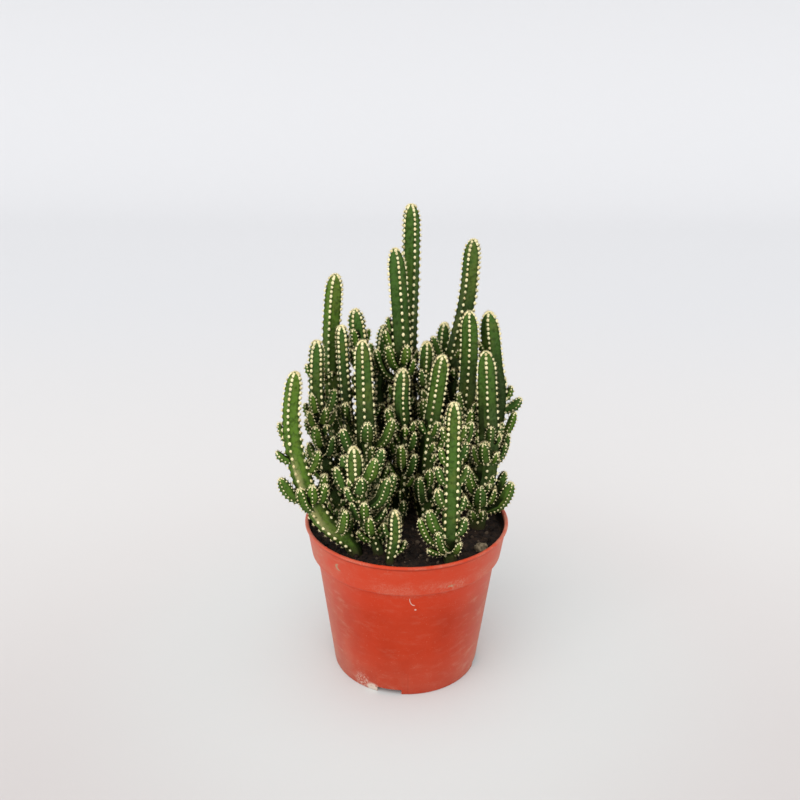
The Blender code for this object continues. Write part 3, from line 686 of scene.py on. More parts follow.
class Surface:
    """Points, triangles and the values that the materials read, gathered for one piece."""

    def __init__(self, *attributes):
        self.count = 0
        self.points = []
        self.triangles = []
        self.values = {name: [] for name in attributes}

    def add(self, points, triangles, **values):
        self.points.append(points)
        self.triangles.append(triangles + self.count)
        self.count += len(points)
        for name, gathered in self.values.items():
            gathered.append(np.broadcast_to(np.asarray(values[name], float), len(points)))

    def make(self, name, material):
        points = np.concatenate(self.points)
        triangles = np.concatenate(self.triangles)
        mesh = bpy.data.meshes.new(name)
        mesh.vertices.add(len(points))
        mesh.vertices.foreach_set("co", points.astype(np.float32).ravel())
        mesh.loops.add(triangles.size)
        mesh.loops.foreach_set("vertex_index", triangles.astype(np.int32).ravel())
        mesh.polygons.add(len(triangles))
        mesh.polygons.foreach_set("loop_start", np.arange(0, triangles.size, 3, dtype=np.int32))
        mesh.update(calc_edges=True)
        mesh.polygons.foreach_set("use_smooth", np.ones(len(triangles), bool))
        for key, gathered in self.values.items():
            made = mesh.attributes.new(key, "FLOAT", "POINT")
            made.data.foreach_set("value", np.concatenate(gathered).astype(np.float32))
        mesh.materials.append(material)
        return new_object(name, mesh)


def new_object(name, data):
    obj = bpy.data.objects.new(name, data)
    bpy.context.scene.collection.objects.link(obj)
    return obj


def tube_triangles(rings, around):
    """Triangles between successive rings of points, with a fan to a last single point."""
    ring = np.arange(rings - 1)[:, None] * around
    here = np.arange(around)[None]
    after = (here + 1) % around
    low, low_after = (ring + here).ravel(), (ring + after).ravel()
    side = np.concatenate([
        np.stack([low, low_after, low_after + around], 1),
        np.stack([low, low_after + around, low + around], 1),
    ])
    last = (rings - 1) * around
    fan = np.stack([last + here[0], last + after[0], np.full(around, rings * around)], 1)
    return np.concatenate([side, fan])


def unit(vectors):
    return vectors / np.linalg.norm(vectors, axis=-1, keepdims=True)


def outward(side, across, angle):
    """The direction at an angle between two crosswise ones."""
    return side * math.cos(angle) + across * math.sin(angle)


# The fine skin, wool and spines of one branch


def frames_at(branch, where):
    """The centres, two crosswise directions and directions of growth at some lengths along a branch."""
    along = lengths_along(branch.points)
    tangents = unit(np.diff(branch.points, axis=0))
    tangents = np.vstack([tangents, tangents[-1]])
    side = np.array([math.cos(branch.turn), math.sin(branch.turn), 0])
    sides = []
    for tangent in tangents:
        side = unit(side - tangent * side.dot(tangent))
        sides.append(side)

    def at(values):
        return np.stack([np.interp(where, along, column) for column in np.transpose(values)], 1)

    tangent = unit(at(tangents))
    side = at(np.array(sides))
    side = unit(side - tangent * np.sum(side * tangent, axis=1, keepdims=True))
    return at(branch.points), side, np.cross(tangent, side), tangent


class Growth:
    """Where the cushions of a branch are along it, and how thick it is."""

    def __init__(self, branch):
        self.branch = branch
        self.is_stem = branch.ribs == STEM_RIBS
        self.habit = STEM_HABIT if self.is_stem else SHOOT_HABIT
        self.ribs = STEM_RIBS if self.is_stem or branch.width >= FIVE_RIBS else 4
        self.along = lengths_along(branch.points)
        self.whole = self.along[-1]
        self.top = self.whole - self.habit.spiny
        self.places = self.cushion_places()
        self.openness = None  # found when every branch is in place

    def cushion_places(self):
        """How far along the branch each ring of cushions is."""
        habit = self.habit
        place = (FOOT_DEPTH if self.is_stem else self.branch.radii[0]) + habit.first
        highest = self.top - habit.bare
        places = [place]
        while place < highest - CLOSEST:
            spread = min((self.top - place) / habit.crown, 1)
            place += habit.pitch * (habit.crowding + (1 - habit.crowding) * spread)
            places.append(min(place, highest))
        places.append(self.top - LAST_RING * habit.bare)
        return np.array(places)

    def radius(self, where):
        """How thick the branch is at some lengths along it, with a smoothly rounded tip."""
        where = where * self.whole / self.top
        plain = np.interp(where, self.along, self.branch.radii)
        width = self.branch.width
        dome = np.array([width * tip_share(self.whole - place, width) for place in where])
        rounded = np.where(self.whole - where < DOME * width / 2, np.maximum(plain, dome), plain)
        if not self.is_stem:
            return rounded
        swelling = clipped((where - FOOT_DEPTH) / SWELL) * clipped((self.whole - where) / SWELL)
        return rounded * (1 + (PLUMP - 1) * swelling)

    def at_phase(self, phase):
        """The length along the branch for a count of cushions from the lowest one. The tip is one more."""
        return np.interp(phase, np.arange(len(self.places) + 1), np.append(self.places, self.top))

    def cork(self, heights, rib):
        """How corky a rib is at some heights, from 0 to 1."""
        if not self.is_stem or self.branch.stem != CORKY_STEM or rib != CORKY_RIB:
            return 0 * heights
        low, high = CORKY_HEIGHTS
        return clipped((high - heights) / CORK_FADE) * clipped((heights - low) / CORK_FADE + 1)

    def bump(self, phase, rib):
        """How far a crest stands out at its cushions, from -1 to 1."""
        return np.cos(2 * math.pi * (phase - rib * RIB_SHIFT))


def openness_of(growth, tree):
    """How much light reaches each rib of a branch, level by level, from 0 to 1."""
    count = len(growth.places)
    centre, side, across, tangent = frames_at(growth.branch, growth.places)
    radius = growth.radius(growth.places)
    open_share = np.zeros((growth.ribs, count))
    for rib in range(growth.ribs):
        angle = 2 * math.pi * rib / growth.ribs
        out = outward(side, across, angle)
        start = centre + out * (radius + LIGHT_START)[:, None]
        for lift, turn in LIGHT_WAYS:
            ways = unit(outward(out, np.cross(tangent, out), turn) + (0, 0, lift))
            for k in range(count):
                hit = tree.ray_cast(start[k], ways[k], REACH_OF_SHADE)
                open_share[rib, k] += 1 if hit[0] is None else FAR_SHADE * hit[3] / REACH_OF_SHADE
    return open_share / len(LIGHT_WAYS)


def skin_of(growth, surface, tint, box):
    """Adds the ribbed skin of one branch, inside the part's box."""
    branch, habit, last = growth.branch, growth.habit, len(growth.places) - 1
    phase = np.append(np.arange(0, last, 1 / habit.steps), last + np.array(TIP_ROWS))
    where = growth.at_phase(phase)
    low = FOOT_DEPTH - BURIED if growth.is_stem else SHOOT_START
    under = np.array([low])
    if where[0] - low > 2 * LOW_ROWS:
        under = np.arange(low, where[0], LOW_ROWS)[:-1]
    phase = np.concatenate([(under - where[0]) / STEM_HABIT.pitch, phase])
    where = np.concatenate([under, where])
    centre, side, across, _ = frames_at(branch, where)
    radius = growth.radius(where)
    fade = clipped(radius / branch.width) * clipped((where - low) / RIB_RISE)
    spacing = 2 * math.pi / growth.ribs
    foot = clipped((FOOT_DEPTH + ROUND_FOOT - where) / ROUND_FOOT) if growth.is_stem else 0 * where
    section = habit.section
    columns, crest_shades, corks, lights = [], [], [], []
    level = np.clip(phase, 0, last)
    for rib in range(growth.ribs):
        for k, (share, turn) in enumerate(section + section[-2:0:-1]):
            onward = k >= len(section)
            own = (rib + 1) % growth.ribs if onward else rib
            angle = (rib + 1 - turn if onward else rib + turn) * spacing
            crest = max(0.0, 1 - turn / CREST_WIDTH)
            shape = share + (1 - share) * FLATTER * foot
            out = radius * shape + crest * habit.bump * growth.bump(phase, own) * fade
            columns.append(centre + outward(side, across, angle) * out[:, None])
            # Painted shade along the crest: darkest between the cushions, lightest round them
            crest_shades.append(crest * (CREST_SHADE - (1 - CREST_SHADE) * growth.bump(phase, own)))
            corks.append(growth.cork(centre[:, 2], own) * max(0.0, 1 - turn / CORK_SPREAD))
            lights.append(np.interp(level, np.arange(last + 1), growth.openness[own]))
    points = np.stack(columns, 1).reshape(-1, 3)
    apex = frames_at(branch, np.array([growth.top]))[0]
    around = len(columns)
    fresh = LONG_YOUNG.get(branch.stem, STEM_YOUNG) if growth.is_stem else SHOOT_YOUNG
    young = clipped(1 - (growth.top - where) / fresh)
    surface.add(
        np.clip(np.vstack([points, apex]), *box),
        tube_triangles(len(where), around),
        crest=np.append(np.stack(crest_shades, 1).ravel(), 0.5),
        cork=np.append(np.stack(corks, 1).ravel(), 0),
        young=np.append(np.repeat(young, around), 1),
        light=np.append(np.stack(lights, 1).ravel(), 1),
        tint=tint,
    )


def cushion_template(rng, sides, rings, width, spines, length, lean):
    """A woolly dome with spines, pointing along Z with the branch's tip towards Y."""
    points = []
    for share, height in CUSHION_RINGS[:rings]:
        turn = rng.uniform(0, NEARLY_ROUND)
        for k in range(sides):
            angle = turn + 2 * math.pi * k / sides
            size = width * share * rng.uniform(*CUSHION_UNEVEN)
            points.append((size * math.cos(angle), size * math.sin(angle), height * width))
    points.append((0, 0, CUSHION_TOP * width))
    triangles = tube_triangles(rings, sides).tolist()
    heights = [0.0] * len(points)
    start = rng.uniform(0, NEARLY_ROUND)
    for k in range(spines):
        angle = start + 2 * math.pi * (k + rng.uniform(-SPINE_SPREAD, SPINE_SPREAD)) / spines
        tilt = math.radians(rng.uniform(*SPINE_TILTS) if k else MIDDLE_TILT)
        aside = math.sin(tilt)
        direction = Vector((math.cos(angle) * aside, math.sin(angle) * aside + lean, math.cos(tilt)))
        direction.normalize()
        across = direction.orthogonal().normalized()
        other = direction.cross(across)
        first = len(points)
        for corner in range(3):
            out = outward(across, other, 2 * math.pi * corner / 3)
            points.append(direction * width * SPINE_ROOT + out * SPINE_THICKNESS)
            triangles.append((first + corner, first + (corner + 1) % 3, first + 3))
        points.append(direction * length * rng.uniform(*SPINE_LENGTHS))
        heights += [SPINE_ROOT_TINT] * 3 + [1.0]
    return np.array([tuple(point) for point in points]), np.array(triangles), np.array(heights)


def make_templates():
    rng = random.Random(SEED)
    return {
        kind: [cushion_template(rng, *shape) for _ in range(CUSHION_MODELS)]
        for kind, shape in CUSHIONS.items()
    }


def wool_of(growth, surface, templates, rng, box):
    """Adds the cushions and spines of one branch, on the crest of each rib, inside the part's box."""
    branch, habit, last = growth.branch, growth.habit, len(growth.places) - 1
    spacing = 2 * math.pi / growth.ribs
    for rib in range(growth.ribs):
        phase = np.arange(last + 1) + (rib * RIB_SHIFT) % 1
        phase = phase[phase <= last]
        where = growth.at_phase(phase)
        centre, side, across, tangent = frames_at(branch, where)
        radius = growth.radius(where)
        rise = growth.radius(where + SLOPE_STEP) - growth.radius(where - SLOPE_STEP)
        slope = np.clip(rise / (2 * SLOPE_STEP), *SLOPES)
        out = outward(side, across, rib * spacing)
        fade = clipped(radius / branch.width)
        root = centre + out * (radius + (habit.bump - habit.sunk) * fade)[:, None]
        normal = unit(out - tangent * slope[:, None])
        upward = unit(tangent - normal * np.sum(tangent * normal, axis=1, keepdims=True))
        beside = np.cross(upward, normal)
        for k in range(len(where)):
            near_tip = growth.top - where[k] < habit.tuft
            kind = habit.kind + ("_crown" if near_tip else "")
            points, triangles, heights = rng.choice(templates[kind])
            size = rng.uniform(*CUSHION_SIZES)
            axes = np.stack([beside[k], upward[k] * habit.taller, normal[k]])
            placed = np.clip(root[k] + points @ axes * size, *box)
            light = np.interp(phase[k], np.arange(last + 1), growth.openness[rib])
            surface.add(placed, triangles, tip=heights, shade=rng.random(), light=light)
    points, triangles, heights = rng.choice(templates[habit.kind + "_crown"])
    tip, side, across, tangent = (value[0] for value in frames_at(branch, np.array([growth.top])))
    placed = np.clip(tip + points @ np.stack([side, across, tangent]) * APEX_SIZE, *box)
    surface.add(placed, triangles, tip=heights, shade=rng.random(), light=growth.openness[:, last].mean())


def dress_stems(materials):
    """Replaces every stem's solid with its skin, and adds its wool and spines."""
    missing = set(STEMS) - set(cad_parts)
    if missing:
        raise ValueError(f"the part has no {sorted(missing)}")
    box = np.array(CAD_BOX)
    branches = all_branches()
    add_shoots(branches)
    growths = [Growth(branch) for branch in branches]
    tree = tree_of(growths)
    for growth in growths:
        growth.openness = openness_of(growth, tree)
    templates = make_templates()
    rng = random.Random(SEED)
    for name in STEMS:
        skin = Surface("crest", "cork", "young", "light", "tint")
        wool = Surface("tip", "shade", "light")
        for growth in growths:
            if growth.branch.stem == name:
                tint = rng.random()
                if growth.is_stem:
                    # The stems that stand in the light get a brighter tint: painted light
                    tint = PAINTED_LIGHT_STEMS.get(name, tint)
                else:
                    tint = LEAST_BRIGHT_SHOOT + (1 - LEAST_BRIGHT_SHOOT) * tint
                skin_of(growth, skin, tint, box)
                wool_of(growth, wool, templates, rng, box)
        body = skin.make(name + "_skin", materials["skin"])
        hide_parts(name)
        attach(body, "root")
        spines = wool.make(name + "_spines", materials["wool"])
        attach(spines, "root")


def tree_of(growths):
    """A tree of all branches as plain three-sided tubes, which finds what stands in the light's way."""
    points, triangles, count = [], [], 0
    for growth in growths:
        centre, side, across, _ = frames_at(growth.branch, growth.places)
        radius = growth.radius(growth.places)[:, None]
        ring = [centre + outward(side, across, angle) * radius for angle in TUBE_CORNERS]
        points.append(np.vstack([np.stack(ring, 1).reshape(-1, 3), centre[-1]]))
        triangles.append(tube_triangles(len(centre), 3) + count)
        count += len(points[-1])
    return BVHTree.FromPolygons(np.concatenate(points).tolist(), np.concatenate(triangles).tolist())


def add_shoots(branches):
    """Adds the small shoots that the part leaves out, wherever there is room between the others."""
    rng = random.Random(EXTRA_SEED)
    columns = {branch.stem: branch for branch in branches if branch.ribs == STEM_RIBS}
    branches += [shoot_branch(columns[name], *shape) for name, *shape in FILLERS]
    for name, stem in STEMS.items():
        wanted = EXTRA_COUNTS.get(name, EXTRA_SHOOTS)
        highest = stem.crown + MORE_ABOVE_CROWN.get(name, EXTRA_ABOVE_CROWN)
        grow(rng, columns[name], branches, EXTRA_RULE, wanted, highest)


# Pot, soil and clod


def turned(name, profile, sides):
    """A solid turned round the Z axis. The profile runs from the axis to the axis."""
    bm = bmesh.new()
    verts = [bm.verts.new((radius, 0, height)) for radius, height in profile]
    edges = [bm.edges.new(pair) for pair in zip(verts, verts[1:])]
    bmesh.ops.spin(
        bm,
        geom=verts + edges,
        cent=(0, 0, 0),
        axis=(0, 0, 1),
        angle=2 * math.pi,
        steps=sides,
        use_merge=True,
    )
    bmesh.ops.remove_doubles(bm, verts=bm.verts, dist=0.001 * MM)
    return bm_object(name, bm)


def bm_object(name, bm):
    bmesh.ops.recalc_face_normals(bm, faces=bm.faces)
    if bm.calc_volume(signed=True) < 0:
        bmesh.ops.reverse_faces(bm, faces=bm.faces)
    mesh = bpy.data.meshes.new(name)
    bm.to_mesh(mesh)
    bm.free()
    return new_object(name, mesh)


def cut(obj, cutters):
    """Cuts the cutters out of obj and removes them."""
    together = bpy.data.collections.new("cutters")
    bpy.context.scene.collection.children.link(together)
    for cutter in cutters:
        together.objects.link(cutter)
        bpy.context.scene.collection.objects.unlink(cutter)
    modifier = obj.modifiers.new("cut", "BOOLEAN")
    modifier.operation = "DIFFERENCE"
    modifier.operand_type = "COLLECTION"
    modifier.collection = together
    graph = bpy.context.evaluated_depsgraph_get()
    result = bpy.data.meshes.new_from_object(obj.evaluated_get(graph))
    obj.modifiers.clear()
    obj.data = result
    for cutter in cutters:
        bpy.data.objects.remove(cutter)
    bpy.data.collections.remove(together)


def wall_radius(height):
    """The outside of the tapered wall below the band."""
    return BASE_RADIUS + (SHOULDER_RADIUS - BASE_RADIUS) * height / BAND_FOOT


def pot_profile():
    """The pot's section, from the axis under its floor to the axis on top of it, with rounded edges."""
    lip_foot = POT_HEIGHT - LIP_DEPTH
    inside = BASE_RADIUS - FOOT_WIDTH
    low = [
        (0, FLOOR_UNDERSIDE),
        (inside - 0.6 * MM, FLOOR_UNDERSIDE),
        (inside, FLOOR_UNDERSIDE - 0.4 * MM),
        (inside + 0.1 * MM, 0.25 * MM),
        (inside + 0.4 * MM, 0),
        (BASE_RADIUS - 0.5 * MM, 0),
        (BASE_RADIUS - 0.15 * MM, 0.2 * MM),
        (wall_radius(0.7 * MM), 0.7 * MM),
    ]
    wall = [(wall_radius(height), height) for height in (20 * MM, 45 * MM, BAND_FOOT - 2.2 * MM)]
    shoulder = [(wall_radius(BAND_FOOT - 1.2 * MM) + 0.15 * MM, BAND_FOOT - 1.2 * MM)]
    depth = BAND_RADIUS - wall_radius(BAND_FOOT) - 0.4 * MM
    for step in range(BEND_STEPS + 1):
        turn = step / BEND_STEPS * math.pi / 2
        shoulder.append((
            BAND_RADIUS - depth * (1 - math.sin(turn)),
            BAND_FOOT + 1.0 * MM - 1.8 * MM * math.cos(turn),
        ))
    lip = [
        (BAND_TOP_RADIUS - 0.35 * MM, lip_foot - 0.5 * MM),
        (BAND_TOP_RADIUS - 0.3 * MM, lip_foot),
        (RIM_RADIUS - 0.25 * MM, lip_foot + 0.05 * MM),
        (RIM_RADIUS, lip_foot + 0.35 * MM),
        (RIM_RADIUS, POT_HEIGHT - 0.5 * MM),
        (RIM_RADIUS - 0.18 * MM, POT_HEIGHT - 0.15 * MM),
        (RIM_RADIUS - 0.6 * MM, POT_HEIGHT),
        (RIM_RADIUS - 1.2 * MM, POT_HEIGHT - 0.05 * MM),
        (RIM_RADIUS - LIP_WIDTH + 0.2 * MM, POT_HEIGHT - 0.3 * MM),
        (RIM_RADIUS - LIP_WIDTH, POT_HEIGHT - 0.9 * MM),
    ]
    inner = [
        (BAND_TOP_RADIUS - WALL - 0.15 * MM, lip_foot - 0.2 * MM),
        (BAND_RADIUS - WALL + 0.2 * MM, BAND_FOOT + 2 * MM),
        (SHOULDER_RADIUS - WALL, BAND_FOOT - 1.4 * MM),
        (wall_radius(FLOOR_TOP) - WALL, FLOOR_TOP + 1 * MM),
        (wall_radius(FLOOR_TOP) - WALL - 1 * MM, FLOOR_TOP),
        (0, FLOOR_TOP),
    ]
    return low + wall + shoulder + lip + inner


def make_pot(materials):
    pot = turned("pot_body", pot_profile(), POT_SIDES)
    for vertex in pot.data.vertices:
        if vertex.co.z > POT_HEIGHT - LIP_DEPTH - 1 * MM:
            roughen_lip(vertex)
    cutters = []
    for k in range(NOTCHES):
        across = Matrix.Rotation(FIRST_NOTCH + k * 2 * math.pi / NOTCHES, 4, "Z")
        bm = bmesh.new()
        bmesh.ops.create_cube(bm, size=1)
        size = Matrix.Diagonal((BASE_RADIUS, NOTCH_WIDTH, 2 * NOTCH_HEIGHT, 1))
        bm.transform(across @ Matrix.Translation((BASE_RADIUS, 0, 0)) @ size)
        cutters.append(bm_object("notch", bm))
        between = across @ Matrix.Rotation(math.pi / NOTCHES, 4, "Z")
        bm = bmesh.new()
        bmesh.ops.create_cone(
            bm,
            cap_ends=True,
            segments=DRAIN_SIDES,
            radius1=DRAIN_RADIUS,
            radius2=DRAIN_RADIUS,
            depth=DRAIN_DEPTH,
            matrix=Matrix.Translation(between @ Vector((DRAIN_CIRCLE, 0, FLOOR_UNDERSIDE))),
        )
        cutters.append(bm_object("drain", bm))
    cut(pot, cutters)
    pot.data.shade_smooth()
    pot.data.set_sharp_from_angle(angle=SHARP_ANGLE)
    pot.data.materials.clear()
    pot.data.materials.append(materials["pot"])
    inside = pot.data.attributes.new("inside", "FLOAT", "POINT")
    inside.data.foreach_set("value", [is_inside(vertex.co) for vertex in pot.data.vertices])
    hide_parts("pot")
    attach(pot, "root")


def roughen_lip(vertex):
    """Gives the moulded lip slight unevenness, more so at the front left."""
    turn = math.degrees(math.atan2(vertex.co.x, -vertex.co.y))
    worn = max(0.0, 1 - abs(turn - WORN_LIP) / WORN_REACH)
    wave = noise.noise(vertex.co / LIP_WAVES)
    flat = Vector((vertex.co.x, vertex.co.y, 0))
    inward = (LIP_INWARD[0] + LIP_INWARD[1] * worn) * MM * max(0.0, wave)
    vertex.co -= flat.normalized() * inward
    vertex.co.z -= (LIP_DOWNWARD[0] + LIP_DOWNWARD[1] * worn) * MM * max(0.0, -wave)


def is_inside(point):
    """Whether a point of the pot is on its inner wall or floor, which the material darkens."""
    if point.z > POT_HEIGHT - 0.6 * MM or point.z < (FLOOR_UNDERSIDE + FLOOR_TOP) / 2:
        return 0.0
    if point.z >= POT_HEIGHT - LIP_DEPTH:
        middle = RIM_RADIUS - LIP_WIDTH - 0.1 * MM
    elif point.z > BAND_FOOT:
        widening = (BAND_TOP_RADIUS - BAND_RADIUS) * (point.z - BAND_FOOT) / BAND_HEIGHT
        middle = BAND_RADIUS - 0.6 * WALL + widening
    else:
        middle = wall_radius(point.z) - 0.2 * WALL
    return float(math.hypot(point.x, point.y) < middle)


def make_nub(materials):
    """A moulding nub on the rim, at the front left."""
    turn = math.radians(NUB_TURN)
    bm = bmesh.new()
    bmesh.ops.create_cube(bm, size=1)
    bmesh.ops.bevel(bm, geom=bm.edges, offset=NUB_ROUNDING, segments=2, affect="EDGES")
    place = Vector((math.sin(turn), -math.cos(turn), 0)) * (RIM_RADIUS - NUB_SIZE[1])
    size = Matrix.Diagonal((*NUB_SIZE, 1))
    height = Matrix.Translation(place + Vector((0, 0, POT_HEIGHT)))
    bm.transform(height @ Matrix.Rotation(turn, 4, "Z") @ size)
    nub = bm_object("pot_nub", bm)
    nub.data.materials.append(materials["pot"])
    inside = nub.data.attributes.new("inside", "FLOAT", "POINT")
    inside.data.foreach_set("value", [0.0] * len(nub.data.vertices))
    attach(nub, "root")


def soil_height(x, y):
    """The height of the soil's lumpy surface."""
    place = Vector((x, y, 0))
    lumps = SOIL_LUMPS[1] * abs(noise.noise(place / (SOIL_LUMPS[0] * MM)))
    waves = SOIL_WAVES[1] * noise.noise(place / (SOIL_WAVES[0] * MM) + Vector((3, 1, 7)))
    grain = SOIL_GRAIN[1] * noise.noise(place / (SOIL_GRAIN[0] * MM) + Vector((9, 2, 4)))
    return SOIL_TOP + (SOIL_LIFT - lumps + waves + grain) * MM


def make_soil(materials):
    """The soil as one closed solid, with a crumbly top."""
    widening = (SOIL_TOP - BAND_FOOT) * (BAND_TOP_RADIUS - BAND_RADIUS) / BAND_HEIGHT
    edge = BAND_RADIUS - WALL - 0.1 * MM + widening
    turns = np.linspace(0, 2 * math.pi, SOIL_SIDES, endpoint=False)
    rings = []
    for radius, height in (
        (wall_radius(FLOOR_TOP) - WALL - GAP, FLOOR_TOP + GAP),
        (SHOULDER_RADIUS - WALL - GAP, BAND_FOOT - 2 * MM),
        (BAND_RADIUS - WALL - GAP, BAND_FOOT + 2 * MM),
    ):
        rings.append([(math.cos(t) * radius, math.sin(t) * radius, height) for t in turns])
    for share in np.linspace(1 / SOIL_RINGS, 1, SOIL_RINGS)[::-1]:
        drop = SOIL_EDGE_DROP * smoothstep(share * SOIL_EDGE - (SOIL_EDGE - 1))
        ring = [(math.cos(t) * share * edge, math.sin(t) * share * edge) for t in turns]
        rings.append([(x, y, soil_height(x, y) - drop) for x, y in ring])
    points = np.array(rings).reshape(-1, 3)
    middle = (0, 0, soil_height(0, 0))
    surface = Surface("tint")
    bottom = np.array([[0, (k + 1) % SOIL_SIDES, k] for k in range(1, SOIL_SIDES - 1)])
    side = tube_triangles(len(rings), SOIL_SIDES)
    surface.add(np.vstack([points, middle]), np.concatenate([side, bottom]), tint=0.5)
    soil = surface.make("soil_body", materials["soil"])
    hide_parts("soil")
    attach(soil, "root")


def lump(rng, size, detail):
    """The points and triangles of a small uneven crumb."""
    bm = bmesh.new()
    bmesh.ops.create_icosphere(bm, subdivisions=detail, radius=1)
    shift = Vector((rng.random(), rng.random(), rng.random())) * NOISE_RANGE
    stretch = [rng.uniform(*CRUMB_STRETCH) for _ in range(3)]
    turn = Matrix.Rotation(rng.uniform(0, NEARLY_ROUND), 3, "Z")
    turn = turn @ Matrix.Rotation(rng.uniform(-CRUMB_TILT, CRUMB_TILT), 3, "X")
    fineness, depth = CRUMB_LUMPS
    points = []
    for vertex in bm.verts:
        wave = 1 + depth * noise.noise(vertex.co * fineness + shift)
        points.append(turn @ Vector([vertex.co[axis] * stretch[axis] * wave * size for axis in range(3)]))
    triangles = np.array([[vertex.index for vertex in face.verts] for face in bm.faces])
    bm.free()
    return np.array(points), triangles


def make_crumbs(materials):
    """Crumbs, grit and bits of bark on the soil. Most are small."""
    rng = random.Random(SEED)
    surface = Surface("tint")
    for _ in range(CRUMBS):
        radius = (BAND_RADIUS - WALL - CRUMB_MARGIN) * math.sqrt(rng.random())
        turn = rng.uniform(0, 2 * math.pi)
        x, y = radius * math.cos(turn), radius * math.sin(turn)
        size = SMALLEST_CRUMB + CRUMB_SPREAD * rng.random() ** 3
        points, triangles = lump(rng, size, 1 if size < PLAIN_CRUMB else 2)
        height = soil_height(x, y) + CRUMB_RISE * size
        surface.add(points + (x, y, height), triangles, tint=rng.random())
    crumbs = surface.make("soil_crumbs", materials["soil"])
    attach(crumbs, "root")


def make_stone(materials):
    """The dry clod on the soil at the right."""
    bm = bmesh.new()
    bmesh.ops.create_icosphere(bm, subdivisions=5, radius=1)
    seat = STONE_SEAT * STONE_SIZE[2]
    for vertex in bm.verts:
        swell = 1 + sum(depth * noise.noise(vertex.co * fineness) for fineness, depth in CLOD_LUMPS)
        x, y, z = (vertex.co[axis] * swell * STONE_SIZE[axis] for axis in range(3))
        z = max(z, -seat - CLOD_SUNK)
        vertex.co = (STONE_PLACE[0] + x, STONE_PLACE[1] + y, SOIL_TOP + GAP + seat + z)
    stone = bm_object("clod_body", bm)
    stone.data.shade_smooth()
    stone.data.materials.append(materials["clod"])
    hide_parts("stone")
    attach(stone, "root")


# Materials


class Nodes:
    """A material under construction, with short ways to add nodes to it."""

    def __init__(self, name, roughness):
        self.material = bpy.data.materials.new(name)
        self.material.use_nodes = True
        self.tree = self.material.node_tree
        self.shader = self.tree.nodes["Principled BSDF"]
        self.shader.inputs["Roughness"].default_value = roughness
        self.place = self.add("ShaderNodeTexCoord").outputs["Object"]
        self.colour = None

    def add(self, kind, **settings):
        node = self.tree.nodes.new(kind)
        for key, value in settings.items():
            setattr(node, key, value)
        return node

    def link(self, value, socket):
        """Sets a socket to a number or colour, or links it to another socket."""
        if isinstance(value, bpy.types.NodeSocket):
            self.tree.links.new(value, socket)
        elif isinstance(value, tuple) and socket.type == "RGBA":
            socket.default_value = (*value, 1)
        else:
            socket.default_value = value

    def maths(self, operation, *values):
        node = self.add("ShaderNodeMath", operation=operation)
        for value, socket in zip(values, node.inputs):
            self.link(value, socket)
        return node.outputs[0]

    def times(self, first, second):
        return self.maths("MULTIPLY", first, second)

    def off(self, value, middle):
        """How far a value is from a middle one."""
        return self.maths("ABSOLUTE", self.maths("SUBTRACT", value, middle))

    def noise(self, size, detail=4, roughness=0.55, stretch=(1, 1, 1)):
        """Noise from 0 to 1 whose features have about the given size in metres."""
        mapping = self.add("ShaderNodeMapping")
        mapping.inputs["Scale"].default_value = stretch
        self.link(self.place, mapping.inputs["Vector"])
        node = self.add("ShaderNodeTexNoise")
        self.link(mapping.outputs[0], node.inputs["Vector"])
        node.inputs["Scale"].default_value = 1 / size
        node.inputs["Detail"].default_value = detail
        node.inputs["Roughness"].default_value = roughness
        return node.outputs["Fac"]

    def between(self, value, low, high, to_low=0.0, to_high=1.0):
        """Maps a value smoothly from one range to another."""
        node = self.add("ShaderNodeMapRange", interpolation_type="SMOOTHSTEP")
        given = (value, low, high, to_low, to_high)
        for key, number in zip(("Value", "From Min", "From Max", "To Min", "To Max"), given):
            self.link(number, node.inputs[key])
        return node.outputs[0]

    def near(self, value, middle, within, beyond):
        """1 within a distance of a middle value, falling to 0 beyond another distance."""
        return self.between(self.off(value, middle), within, beyond, 1.0, 0.0)

    def mix(self, share, first, second):
        """Mixes two colours."""
        node = self.add("ShaderNodeMix", data_type="RGBA")
        self.link(share, node.inputs[0])
        self.link(first, node.inputs[6])
        self.link(second, node.inputs[7])
        return node.outputs[2]

    def lay(self, over, share, strength=None):
        """Lays a colour over the material's own, by a share from 0 to 1 and a strength."""
        if strength is not None:
            share = self.times(share, strength)
        self.colour = self.mix(share, self.colour, over)

    def attribute(self, name):
        return self.add("ShaderNodeAttribute", attribute_name=name).outputs["Fac"]

    def axes(self):
        node = self.add("ShaderNodeSeparateXYZ")
        self.link(self.place, node.inputs[0])
        return node.outputs

    def bump(self, height, distance, strength=1.0):
        node = self.add("ShaderNodeBump")
        node.inputs["Distance"].default_value = distance
        node.inputs["Strength"].default_value = strength
        self.link(height, node.inputs["Height"])
        self.link(node.outputs[0], self.shader.inputs["Normal"])

    def finish(self, shine, roughness=None):
        self.link(self.colour, self.shader.inputs["Base Color"])
        self.link(shine, self.shader.inputs["Specular IOR Level"])
        if roughness is not None:
            self.link(roughness, self.shader.inputs["Roughness"])
        return self.material


